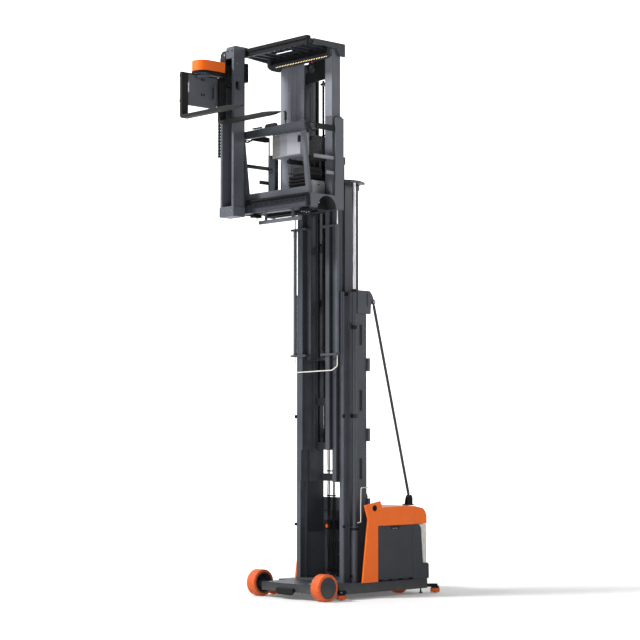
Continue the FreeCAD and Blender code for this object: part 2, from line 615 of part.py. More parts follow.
# --------------------------------------------------------------------------------------------
# Operator cab
# --------------------------------------------------------------------------------------------
def make_cab_frame():
    """Make the cab's floor, its side plates and the frame under its front."""
    inside = "cab_half - side_skin"
    under = ("cab_floor - floor_plate - cab_frame", "cab_floor - floor_plate")
    arch = block(both("arch_radius + skin"), ("deck_half + 15", "cab_half"),
                 ("skirt_bottom", "cab_floor + 5"))
    beams = [
        block(("cab_front - 60", "rail_back"), both("panel_half"), under),
        block(("cab_rear", "cab_rear + 60"), both(inside), under),
        *both_sides(block(("cab_rear", "rail_back"), ("deck_half - 50", "deck_half + 10"), under)),
        block(("cab_front", "rail_back"), both("panel_half"),
              ("cab_floor - floor_plate", "cab_floor")),
    ]
    plate = block(("cab_rear", "cab_front"), both(inside),
                  ("cab_floor - floor_plate", "cab_floor"))
    gate_post = block(("gate_pivot_place - 30", "gate_pivot_place + 30"),
                      ("-(post_half)", "-(post_half - 50)"), ("cab_floor", "cab_floor + 820"))
    node("cab_floor", without(joined(plate, gate_post, *beams), *both_sides(arch)))
    ring = ("deck_half + 15", f"{inside} + 1")
    shell = without(rod("Y", ("0", "skirt_bottom"), "arch_radius + skin", ring),
                    rod("Y", ("0", "skirt_bottom"), "arch_radius",
                        ("deck_half + 15 + skin", f"{inside} + 5")),
                    block(both("cab_half"), ("0", "cab_half"), ("skirt_bottom - 400",
                                                               "skirt_bottom")))
    plates = []
    for side, rear_edge in (("left", "cab_rear + 165"), ("right", "cab_rear + 50")):
        plate = outline("XZ", [
            ("cab_rear", "skirt_bottom"), ("cab_front", "skirt_bottom"),
            ("cab_front", "skirt_top"), (rear_edge, "skirt_top"), (rear_edge, "side_top"),
            ("cab_rear", "side_top")], (inside, "cab_half"))
        arched = without(plate, rod("Y", ("0", "skirt_bottom"), "arch_radius",
                                    (f"{inside} - 5", "cab_half + 5")))
        skinned = joined(arched, shell)
        plates.append(skinned if side == "left" else mirrored(skinned))
    node("side_plates", set_of(*plates))


def make_cab_structure():
    """Make the posts, the rear wall, the header and the overhead guard."""
    under_roof = "roof_top - roof_plate"
    upright = ("cab_floor", under_roof)
    node("rear_post_left", without(
        block(("post_rear", "post_rear + post_depth"), ("post_half - post_width", "post_half"),
              upright),
        rod("Y", ("0", "skirt_bottom"), "arch_radius + skin + seat_gap", ("deck_half", "cab_half"))))
    node("rear_wall", outline("XY", [
        ("cab_rear", "wall_left"), ("cab_rear", "wall_right - 30"),
        ("cab_rear + 12", "wall_right - 30"), ("cab_rear + wall_plate + 15", "-400"),
        ("cab_rear + wall_plate + 15", "wall_left")], upright))
    node("rear_header", outline("YZ", [
        ("wall_left", under_roof), ("wall_left", "header_bottom"),
        ("post_half - post_width", "header_bottom + 60"), ("post_half - post_width", under_roof)],
        ("cab_rear", "cab_rear + 25")))
    ribs = [block(("cab_rear + 50", "roof_front - 40"), (f"{place} - 12", f"{place} + 12"),
                  (f"{under_roof} - roof_rib", under_roof)) for place in range(-590, 600, 160)]
    side = outline("XZ", [
        ("roof_rear", "roof_top"), ("roof_rear", "roof_top - 185"),
        ("roof_rear + 110", "roof_top - 185"), ("roof_rear + 160", "roof_top - 90"),
        ("cab_front - 50", "roof_top - 55"), ("cab_front - 50", "roof_top")],
        ("cab_half - 30", "cab_half"))
    node("overhead_guard", joined(
        block(("roof_rear", "roof_front"), both("cab_half - 30"), (under_roof, "roof_top")),
        block(("roof_front", "rail_back"), both("cab_half - 30"), (under_roof, "roof_top")),
        *ribs, *both_sides(side)))
    beam = ("light_beam_place - 20", "light_beam_place + 20")
    node("light_beam", outline("YZ", [
        ("-660", under_roof), ("-660", "roof_top - 160"), ("-610", "roof_top - 205"),
        ("-440", "roof_top - 270"), ("600", "roof_top - 270"), ("650", "roof_top - 205"),
        ("695", "roof_top - 160"), ("695", under_roof), ("650", under_roof),
        ("620", "roof_top - 145"), ("-590", "roof_top - 145"), ("-615", under_roof)], beam))
    handle = joined(
        rod("Z", ("panel_front - 22", "280"), "11", ("panel_bottom + 20", "panel_top + 190")),
        rod("Y", ("panel_front - 22", "panel_top + 180"), "9", ("235", "280")))
    panel = outline("YZ", [
        ("panel_half", "panel_bottom"), ("panel_half", "panel_top"),
        ("-(panel_half)", "panel_top - 15"), ("-(panel_half)", "panel_bottom + 25")],
        ("panel_front - 45", "panel_front"))
    node("front_panel", joined(panel, handle))
    post = outline("XZ", [
        ("sill_front - 50", "sill_top"), ("sill_front", "sill_top"),
        ("panel_front - 5", "panel_bottom"), ("panel_front - 50", "panel_bottom")],
        ("panel_half - 65", "panel_half"))
    sill = block(("sill_front - 50", "sill_front"), both("panel_half"), ("cab_floor", "sill_top"))
    node("front_frame", joined(sill, *both_sides(post)))


def make_carriage():
    """Make the frame that hangs the cab on the inmost mast section, with its guide wheels."""
    web_face = "rail_outer - 3 * rail_pitch - rail_width / 2 - web / 2"
    centre = "rail_rear + flange + guide_wheel + seat_gap"
    upright = block(("carriage_rear", "cab_rear"), ("carriage_half - 30", "carriage_half"),
                    ("carriage_foot", "carriage_top"))
    wheels = [rod("Y", (centre, height), "guide_wheel", ("carriage_half", f"{web_face} - clear_gap"))
              for height in ("carriage_foot + 190", "carriage_top - 80")]
    left = [upright, *wheels]
    ties = [block(("cab_rear - 25", "cab_rear"), both("carriage_half"), (low, f"{low} + 160"))
            for low in ("carriage_foot", "carriage_top - 160")]
    node("cab_carriage", joined(*left, *[mirrored(piece) for piece in left], *ties))


def make_cab_fittings():
    """Make the front panel, the console, the seat and the locker beside it."""
    back, face = "panel_front - 45 - seat_gap", "panel_front - 45 - console_depth"
    node("console", outline("XZ", [
        (face, "console_bottom + 50"), (f"{face} + 35", "console_bottom"),
        (f"{back} - 30", "console_bottom"), (back, "console_top - 60"), (back, "console_top"),
        (f"{face} + 25", "console_top")], ("console_right", "console_left")))
    node("seat_pedestal", joined(
        block(("-150", "60"), ("200", "400"), ("cab_floor", "seat_height - 110")),
        outline("XZ", [
            ("-222 - seat_gap", "cab_floor"), ("-222 - seat_gap", "seat_height + 130"),
            ("-242 - seat_gap", "seat_height + 437"), ("-262 - seat_gap", "seat_height + 437"),
            ("-262 - seat_gap", "cab_floor")], ("260", "340")),
        block(("-240", "-140"), ("260", "340"), ("cab_floor", "cab_floor + 120"))))
    node("seat_cushion", block(("-220", "170"), ("100", "500"),
                               ("seat_height - 110 + seat_gap", "seat_height")))
    node("seat_back", outline("XZ", [
        ("-222", "seat_height + 130"), ("-170", "seat_height + 130"),
        ("-200", "seat_height + 560"), ("-250", "seat_height + 560")], ("120", "480")))
    node("side_locker", block(
        ("-150", "95"), ("430", "deck_half + 10"), ("cab_floor", "cab_floor + 310")))
    low = "cab_floor - floor_plate - cab_frame"
    hangers = [block(("205", "235"), (place, f"{place} + 30"), ("5430", low))
               for place in ("-330", "250")]
    node("underrun_bar", joined(
        block(("200", "240"), ("-450", "430"), ("5380", "5431")),
        rod("Z", ("220", "-450"), "20", ("5380", "5431")), *hangers,
        block(("205", "cab_front"), ("-330", "280"), (f"{low} - 12", low))))


def make_gates():
    """Make the lift-up side gates: rails on an upright that pivots near its foot."""
    upright = rod("Z", ("gate_pivot_place", "gate_half"), "gate_tube",
                  ("lower_bar_height - 40", "handrail_height + 10"))
    nose = "gate_pivot_place + gate_reach"
    bars = [
        rod("X", ("gate_half", "handrail_height"), "gate_tube", ("gate_pivot_place", nose)),
        rod("X", ("gate_half", "handrail_height - 75"), "8",
            (f"{nose} - 150", f"{nose} - 30")),
        rod("Z", (f"{nose} - 150", "gate_half"), "8",
            ("handrail_height - 82", "handrail_height")),
        rod("Z", (f"{nose} - 30", "gate_half"), "8",
            ("handrail_height - 82", "handrail_height")),
        block(("gate_pivot_place", f"{nose} - 60"), ("gate_half - 4", "gate_half + 4"),
              ("middle_bar_height - 28", "middle_bar_height + 28")),
        block(("gate_pivot_place", "gate_pivot_place + 190"), ("gate_half - 4", "gate_half + 4"),
              ("lower_bar_height - 28", "lower_bar_height + 28")),
        rod("Y", ("gate_pivot_place", "gate_pivot_height"), "9",
            ("post_half + seat_gap", "gate_half")),
    ]
    pair_of("side_gate", joined(upright, *bars))


# --------------------------------------------------------------------------------------------
# Turret: traverse rails, small mast, lift arm and fork head
# --------------------------------------------------------------------------------------------
def make_rails():
    """Make the two rails that the turret slides along across the cab's front."""
    width = both("rail_half")
    front = ("rail_back", "rail_front")
    end = block(("rail_back - 30", "rail_back"), ("cab_half - 30", "rail_half"),
                ("upper_rail_top - 45", "upper_rail_top"))
    feet = [block(("sill_front", "rail_back"), (f"{place} - 60", f"{place} + 60"),
                  ("lower_rail_bottom + 10", "lower_rail_top - 10")) for place in (-500, 0, 500)]
    for name, extra in (("upper_rail", [end]), ("lower_rail", feet)):
        low, high = f"{name}_bottom", f"{name}_top"
        groove = block(("rail_front - 12", "rail_front + 1"), both("rail_half + 1"),
                       (f"({low} + {high}) / 2 - 14", f"({low} + {high}) / 2 + 14"))
        node(name, without(joined(block(front, width, (low, high)), *extra), groove))


def make_turret():
    """Make the turret's small mast, which slides along both rails, and its cable chain."""
    around = ("turret_middle - turret_half", "turret_middle + turret_half")
    height = ("turret_foot + turret_block", "turret_top - 130")
    rails = [
        block(("turret_back", "turret_front"), (around[0], f"{around[0]} + turret_wall"), height),
        block(("turret_back", "turret_front"), (f"{around[1]} - turret_wall", around[1]), height),
    ]
    window = block(("turret_front - 95", "turret_front - 50"),
                   (f"{around[1]} - turret_wall - 5", f"{around[1]} + 5"), ("7330", "7460"))
    shoes = [block(("rail_front + seat_gap", "turret_back"), around, (low, high))
             for low, high in (("upper_rail_bottom + 5", "upper_rail_top"),
                               ("lower_rail_bottom + 5", "lower_rail_top - 5"))]
    hook = block(("rail_back + 5", "turret_back + 10"), around,
                 ("upper_rail_top + seat_gap", "upper_rail_top + 25"))
    node("turret_mast", joined(
        without(joined(*rails), window),
        block(("turret_back", "turret_back + 15"), around, height),
        block(("turret_back", "turret_front"), around, (height[1], "upper_rail_top + 25")),
        block(("turret_back - 5", "turret_front + 10"),
              (f"{around[0]} - 10", f"{around[1]} + 10"), ("turret_foot", height[0])),
        *shoes, hook,
        rod("Z", ("turret_back + 27", "turret_middle"), "13", height)))
    node("energy_chain", block(("turret_front - 5", "turret_front + 22"),
                               (f"{around[0]} - 32", f"{around[0]} - seat_gap"), ("6360", "7500")))


def make_lift_arm():
    """Make the arm that climbs the small mast: its slide, root, plate and pin, and its cover."""
    inner = "turret_half - turret_wall - seat_gap"
    slide = block(("turret_back + 46", "turret_front + 10"),
                  (f"turret_middle - ({inner})", f"turret_middle + {inner}"),
                  ("arm_bottom - 120", "cover_top - 10"))
    root = block(("turret_front + 9", "arm_front + 30"),
                 ("turret_middle - arm_root", "turret_middle + arm_root"),
                 ("arm_bottom", "cover_top - 2 * skin"))
    pivot = ("pivot_place", "turret_middle")
    plate = [block(("arm_front", "pivot_place"),
                   ("turret_middle - arm_radius", "turret_middle + arm_radius"),
                   ("arm_bottom", "arm_bottom + arm_plate")),
             rod("Z", pivot, "arm_radius", ("arm_bottom", "arm_bottom + arm_plate"))]
    pin = rod("Z", pivot, "pivot_radius", ("head_top + 4", "arm_bottom + 1"))
    node("lift_arm", joined(slide, root, *plate, pin))
    low = "arm_bottom + arm_plate"
    outer, inner_skin = "arm_radius - 4", "arm_radius - 4 - skin"
    cover = joined(
        block(("arm_front", "pivot_place"),
              (f"turret_middle - ({outer})", f"turret_middle + {outer}"), (low, "cover_top")),
        rod("Z", pivot, outer, (low, "cover_top")))
    hollow = joined(
        block(("arm_front - 5", "pivot_place"),
              (f"turret_middle - ({inner_skin})", f"turret_middle + {inner_skin}"),
              (f"{low} - 5", "cover_top - skin")),
        rod("Z", pivot, inner_skin, (f"{low} - 5", "cover_top - skin")))
    node("arm_cover", without(cover, hollow))


def make_fork_head():
    """Make the head that turns under the arm, and the two forks that hang from it."""
    wide = "fork_spread / 2 - fork_width / 2"
    left, right = f"pivot_place + {wide} + 40", f"pivot_place - ({wide}) - 40"
    face = ("turret_middle - 40", "turret_middle - 40 + head_plate")
    plate = outline("XZ", [
        (right, "head_bottom + 45"), (f"{right} + 60", "head_bottom + 45"),
        (f"{right} + 60", "head_bottom"), (f"{left} - 75", "head_bottom"),
        (left, "head_bottom + 30"), (left, "head_bottom + 140"),
        (f"{left} - 75", "head_bottom + 165"), (f"{left} - 100", "head_bottom + 205"),
        (f"{left} - 100", "head_bottom + 330"), (f"{left} - 75", "head_bottom + 365"),
        (left, "head_bottom + 390"), (left, "head_top"), (right, "head_top")], face)
    holes = [rod("Y", (f"pivot_place {shift}", height), "9", (f"{face[0]} - 5", f"{face[1]} + 5"))
             for shift in ("- 12", "+ 18") for height in ("head_top - 50", "head_bottom + 170")]
    flange = rod("Z", ("pivot_place", "turret_middle"), "pivot_radius + 55",
                 ("head_top - 30", "head_top"))
    seat = rod("Z", ("pivot_place", "turret_middle"), "pivot_radius + 30",
               ("head_top", "arm_bottom - seat_gap"))
    bore = rod("Z", ("pivot_place", "turret_middle"), "pivot_radius + running_gap",
               ("head_top", "arm_bottom + 5"))
    fin = block(("pivot_place - 210", "pivot_place - 196"), (f"{face[1]}", f"{face[1]} + 60"),
                ("head_bottom + 120", "head_bottom + 330"))
    node("fork_carriage", without(joined(plate, flange, seat, fin), *holes, bore))
    forks = []
    for sign in "+-":
        centre = f"pivot_place {sign} fork_spread / 2"
        back = face[1]
        profile = outline("YZ", [
            (back, "fork_bottom + 30"), (f"{back} + 30", "fork_bottom"),
            (f"{back} + fork_reach - 250", "fork_bottom"),
            (f"{back} + fork_reach", "fork_bottom + 12"),
            (f"{back} + fork_reach", "fork_bottom + 12 + fork_tip"),
            (f"{back} + fork_reach - 300", "fork_bottom + fork_thick"),
            (f"{back} + fork_thick", "fork_bottom + fork_thick"),
            (f"{back} + fork_thick", "fork_top - 20"), (f"{back} + fork_thick - 15", "fork_top"),
            (back, "fork_top")],
            (f"{centre} - fork_width / 2", f"{centre} + fork_width / 2"))
        tip = outline("XY", [
            (f"{centre} - fork_width / 2 - 5", f"{back} + fork_reach - 160"),
            (f"{centre} - fork_width / 2", f"{back} + fork_reach - 160"),
            (f"{centre} - fork_width / 5", f"{back} + fork_reach - 5"),
            (f"{centre} + fork_width / 5", f"{back} + fork_reach - 5"),
            (f"{centre} + fork_width / 2", f"{back} + fork_reach - 160"),
            (f"{centre} + fork_width / 2 + 5", f"{back} + fork_reach - 160"),
            (f"{centre} + fork_width / 2 + 5", f"{back} + fork_reach + 5"),
            (f"{centre} - fork_width / 2 - 5", f"{back} + fork_reach + 5")],
            ("fork_bottom - 5", "fork_bottom + fork_thick + 5"))
        forks.append(without(profile, tip))
    node("forks", set_of(*forks))


make_chassis()
make_wheels()
make_drive_units()
make_guide_rollers()
make_body()
make_mast()
make_cab_frame()
make_cab_structure()
make_carriage()
make_cab_fittings()
make_gates()
make_rails()
make_turret()
make_lift_arm()
make_fork_head()

# --------------------------------------------------------------------------------------------
# Check every piece, move the origin under the middle of the truck and write the files
# --------------------------------------------------------------------------------------------
doc.recompute()
faults = [f"{piece.Label}: {piece.State}" for piece in doc.Objects
          if "Invalid" in piece.State or "Error" in piece.State]
faults += [f"{piece.Label}: bad shape" for piece in NODES
           if piece.Shape.isNull() or not piece.Shape.isValid() or not piece.Shape.Solids]
if faults:
    raise RuntimeError("; ".join(faults))
whole = FreeCAD.BoundBox()
for piece in NODES:
    whole.add(piece.Shape.BoundBox)
origin = FreeCAD.Vector(whole.Center.x, whole.Center.y, whole.ZMin)
os.makedirs("parts", exist_ok=True)
for piece in NODES:
    piece.Placement.Base = piece.Placement.Base - origin
doc.recompute()
for piece in NODES:
    piece.Shape.exportStep(f"parts/{piece.Label}.step")
print(f"{len(NODES)} pieces, origin at {origin.x:.3f}, {origin.y:.3f}, {origin.z:.3f}")
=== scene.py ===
"""Looks of a three-way very-narrow-aisle forklift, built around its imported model.

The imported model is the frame: its nodes keep their shape and place, and get the finishes of the
real truck. The smaller things are built here as meshes: bolts, chains, hoses, pulleys, lamps,
controls, covers with rounded edges and the seat's upholstery. Each sub-assembly is a class.
Lengths inside the classes are in millimetres from the floor under the middle of the load axle,
with X forward to the load side, Y to the truck's left and Z up.
"""

import logging
import math
from collections.abc import Iterable, Sequence
from dataclasses import dataclass
from enum import Enum
from functools import lru_cache

import bmesh
import bpy
from mathutils import Matrix, Quaternion, Vector, noise


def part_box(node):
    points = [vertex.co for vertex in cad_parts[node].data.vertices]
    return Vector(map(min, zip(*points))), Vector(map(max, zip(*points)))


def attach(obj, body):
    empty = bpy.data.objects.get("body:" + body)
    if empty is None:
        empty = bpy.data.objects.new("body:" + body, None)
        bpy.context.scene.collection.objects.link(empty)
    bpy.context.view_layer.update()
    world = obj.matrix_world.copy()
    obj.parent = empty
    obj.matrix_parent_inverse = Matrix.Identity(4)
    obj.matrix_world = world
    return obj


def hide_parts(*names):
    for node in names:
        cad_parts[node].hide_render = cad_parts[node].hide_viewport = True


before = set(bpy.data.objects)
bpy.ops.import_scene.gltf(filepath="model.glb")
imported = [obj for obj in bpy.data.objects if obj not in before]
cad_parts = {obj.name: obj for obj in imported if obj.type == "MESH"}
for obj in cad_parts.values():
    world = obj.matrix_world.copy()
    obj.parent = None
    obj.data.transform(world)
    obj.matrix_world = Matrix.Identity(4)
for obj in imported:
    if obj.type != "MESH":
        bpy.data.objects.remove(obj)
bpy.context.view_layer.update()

log = logging.getLogger("forklift")
MM = 0.001
Point = Sequence[float]
Tree = bpy.types.NodeTree
Socket = bpy.types.NodeSocket


# --------------------------------------------------------------------------------------------
# Places
# --------------------------------------------------------------------------------------------
def axle_middle() -> Vector:
    """Return the floor point under the middle of the load axle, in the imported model's frame."""
    boxes = [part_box(f"load_tyre_{side}") for side in ("left", "right")]
    middle = sum((low + high for low, high in boxes), Vector()) / 4
    return Vector((middle.x, middle.y, 0.0))


AXLE = axle_middle()


@dataclass(frozen=True)
class Span:
    """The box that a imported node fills, in millimetres from the axle's middle."""

    low: Vector
    high: Vector

    @classmethod
    def of(cls, node: str) -> "Span":
        """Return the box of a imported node."""
        low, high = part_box(node)
        return cls((low - AXLE) / MM, (high - AXLE) / MM)

    @property
    def middle(self) -> Vector:
        """Return the box's middle."""
        return (self.low + self.high) / 2


class Axis(Enum):
    """A direction of the truck's frame, by its place in a point."""

    X = 0
    Y = 1
    Z = 2

    def place(self, along: float, across: Point) -> Vector:
        """Return a point from its place along this axis and its two other coordinates."""
        coordinates = list(across)
        coordinates.insert(self.value, along)
        return Vector(coordinates)


class Side(Enum):
    """A side of the truck, by the sign of its Y."""

    LEFT = 1
    RIGHT = -1

    @property
    def word(self) -> str:
        """Return the side's name as the nodes and bodies spell it."""
        return self.name.lower()


# --------------------------------------------------------------------------------------------
# Finishes
# --------------------------------------------------------------------------------------------
def linear(code: str) -> tuple[float, float, float, float]:
    """Turn an sRGB hex colour into linear red, green, blue and full alpha."""
    parts = [int(code[i:i + 2], 16) / 255 for i in (1, 3, 5)]
    straight = [p / 12.92 if p <= 0.04045 else ((p + 0.055) / 1.055) ** 2.4 for p in parts]
    return (*straight, 1.0)


def per_metre(spacing_mm: float) -> float:
    """Return a texture's scale for features of a real spacing."""
    return 1.0 / (spacing_mm * MM)


def add_node(tree: Tree, kind: str, settings: dict | None = None, out: int | str = 0) -> Socket:
    """Add a shader node with its settings and links.

    Args:
        tree: The node tree.
        kind: The node's type, without what all type names start with.
        settings: Each key is a property of the node, or the name or number of an input; a value
            that is a socket is linked to that input.
        out: Which output is wanted.

    Returns:
        That output of the new node.
    """
    new = tree.nodes.new(f"ShaderNode{kind}")
    for key, value in (settings or {}).items():
        if isinstance(key, str) and key not in new.inputs:
            setattr(new, key, value)
        elif isinstance(value, Socket):
            tree.links.new(value, new.inputs[key])
        else:
            new.inputs[key].default_value = value
    return new.outputs[out]


def mixed(tree: Tree, share: Socket, first: Socket | Point, second: Socket | Point) -> Socket:
    """Return two colours mixed by a share of the second."""
    return add_node(tree, "Mix", {"data_type": "RGBA", 0: share, 6: first, 7: second}, 2)


def ranged(tree: Tree, value: Socket, start: float, end: float, low: float = 0.0,
           high: float = 1.0) -> Socket:
    """Return a value that runs from low to high while the given one runs from start to end."""
    return add_node(tree, "MapRange", {
        "Value": value, "From Min": start, "From Max": end, "To Min": low, "To Max": high})


@dataclass(frozen=True)
class Finish:
    """A surface: its colour that drifts in patches, its gloss and its fine relief.

    Attributes:
        name: The material's name, which is what the real one is called.
        colour: The main colour, as sRGB hex.
        drift: The colour that the main one drifts to in patches.
        roughness: The gloss at the smoothest places.
        rough_drift: How much rougher the roughest patches are.
        patch_mm: The size of the patches.
        grain_mm: The spacing of the fine relief.
        depth_mm: The depth of the fine relief.
        stretch: How far the fine relief is squeezed along each axis.
        specular: The strength of the reflection, where 0.5 is a plain varnish.
        metallic: 1 for bare metal.
        coat: The weight of a clear top coat.
        sheen: The weight of fibres that catch light at the edge.
        dust_mm: The height over the floor where road dust ends, or 0 for none.
    """

    name: str
    colour: str
    drift: str
    roughness: float
    rough_drift: float = 0.10
    patch_mm: float = 240.0
    grain_mm: float = 3.0
    depth_mm: float = 0.06
    stretch: tuple[float, float, float] = (1.0, 1.0, 1.0)
    specular: float = 0.5
    metallic: float = 0.0
    coat: float = 0.0
    sheen: float = 0.0
    dust_mm: float = 0.0

    def relief(self, tree: Tree, where: Socket) -> Socket:
        """Return the height of the fine relief: an even grain, as on a sprayed coat."""
        return add_node(tree, "TexNoise", {
            "Vector": where, "Scale": per_metre(self.grain_mm), "Detail": 3.0})

    def tint(self, tree: Tree, where: Socket, patches: Socket, height: Socket) -> Socket:
        """Return the colour all over the surface, drifting with the patches.

        Args:
            tree: The node tree.
            where: The place on the object.
            patches: The large patches, from 0 to 1.
            height: The fine relief.

        Returns:
            The colour socket.
        """
        return mixed(tree, ranged(tree, patches, 0.35, 0.68), linear(self.colour),
                     linear(self.drift))

    def dusted(self, tree: Tree, colour: Socket, patches: Socket) -> Socket:
        """Return the colour with road dust over its lowest part, thicker in some patches."""
        place = add_node(tree, "TexCoord", out="Object")
        rise = add_node(tree, "SeparateXYZ", {0: place}, 2)
        fade = ranged(tree, rise, self.dust_mm * MM, 0.0, 0.0, 0.32)
        share = add_node(tree, "Math", {"operation": "MULTIPLY", 0: fade, 1: patches})
        return mixed(tree, share, colour, linear("#8E867A"))

    @lru_cache(maxsize=None)
    def make(self) -> bpy.types.Material:
        """Return the material, made once."""
        material = bpy.data.materials.new(self.name)
        material.use_nodes = True
        tree = material.node_tree
        shader = next(node for node in tree.nodes if node.type == "BSDF_PRINCIPLED")
        for word, value in (("Metallic", self.metallic), ("Coat Weight", self.coat),
                            ("Coat Roughness", 0.12), ("Sheen Weight", self.sheen),
                            ("Specular IOR Level", self.specular)):
            shader.inputs[word].default_value = value
        place = add_node(tree, "TexCoord", out="Object")
        drawn = add_node(tree, "Mapping", {"Vector": place, "Scale": self.stretch})
        patches = add_node(tree, "TexNoise", {
            "Vector": place, "Scale": per_metre(self.patch_mm), "Detail": 5.0})
        height = self.relief(tree, drawn)
        colour = self.tint(tree, drawn, patches, height)
        if self.dust_mm:
            colour = self.dusted(tree, colour, patches)
        gloss = ranged(tree, patches, 0.3, 0.7, self.roughness, self.roughness + self.rough_drift)
        bump = add_node(tree, "Bump", {
            "Strength": 0.6, "Distance": self.depth_mm * MM, "Height": height})
        for word, socket in (("Base Color", colour), ("Roughness", gloss), ("Normal", bump)):
            tree.links.new(socket, shader.inputs[word])
        self.finish_shader(shader)
        return material

    def finish_shader(self, shader: bpy.types.Node) -> None:
        """Set what only one kind of finish needs on the shader."""


@dataclass(frozen=True)
class Forged(Finish):
    """Forged or rolled steel, worn bright in long streaks where loads slide over it."""

    worn: str = "#5A5955"

    def tint(self, tree: Tree, where: Socket, patches: Socket, height: Socket) -> Socket:
        """Return the scale's colour with the worn streaks over it."""
        base = super().tint(tree, where, patches, height)
        streaks = add_node(tree, "TexNoise", {
            "Vector": where, "Scale": per_metre(70), "Detail": 6.0, "Roughness": 0.7})
        return mixed(tree, ranged(tree, streaks, 0.58, 0.78, 0.0, 0.3), base, linear(self.worn))


@dataclass(frozen=True)
class Moulded(Finish):
    """Injection-moulded plastic, whose leather grain comes from the etched tool."""

    def relief(self, tree: Tree, where: Socket) -> Socket:
        """Return small rounded cells, as an etched tool leaves them."""
        return add_node(tree, "TexVoronoi", {
            "Vector": where, "Scale": per_metre(self.grain_mm), "feature": "SMOOTH_F1"})


@dataclass(frozen=True)
class Woven(Finish):
    """Woven upholstery cloth, with warp and weft threads that cross over and under."""

    def relief(self, tree: Tree, where: Socket) -> Socket:
        """Return the height of the crossing sets of threads."""
        highest, *others = [add_node(tree, "TexWave", {
            "bands_direction": way, "Vector": where, "Distortion": 0.6, "Detail Scale": 2.0,
            "Scale": per_metre(self.grain_mm) / 6.3}, 1) for way in ("X", "Y", "Z")]
        for threads in others:
            highest = add_node(tree, "Math", {"operation": "MAXIMUM", 0: highest, 1: threads})
        return highest

    def tint(self, tree: Tree, where: Socket, patches: Socket, height: Socket) -> Socket:
        """Return the threads' colour, with painted shade in the gaps between them."""
        # Painted shade: the lower the relief, the darker the cloth.
        return mixed(tree, height, linear(self.drift), linear(self.colour))


@dataclass(frozen=True)
class Glowing(Finish):
    """A lamp's diffuser, lit from inside."""

    power: float = 6.0

    def finish_shader(self, shader: bpy.types.Node) -> None:
        """Light the diffuser from inside."""
        shader.inputs["Emission Color"].default_value = linear(self.colour)
        shader.inputs["Emission Strength"].default_value = self.power


@dataclass(frozen=True)
class Backdrop(Glowing):
    """Backdrop paper with painted light: it glows of itself, faintly round the truck and fully far
    from it.
    """

    near: float = 0.12
    far: float = 0.95

    def finish_shader(self, shader: bpy.types.Node) -> None:
        """Paint the paper's own glow: faint round the truck and full far from it."""
        tree = shader.id_data
        place = add_node(tree, "TexCoord", out="Object")
        away = add_node(tree, "VectorMath", {"operation": "LENGTH", 0: place}, 1)
        glow = add_node(tree, "MapRange", {
            "interpolation_type": "SMOOTHSTEP", "Value": away, "From Min": 1.5, "From Max": 12.0,
            "To Min": self.near, "To Max": self.far})
        shader.inputs["Emission Color"].default_value = (1.0, 1.0, 1.0, 1.0)
        tree.links.new(glow, shader.inputs["Emission Strength"])


EVEN = (1.0, 1.0, 1.0)
ROLLING = (1.0, 1.0, 0.04)


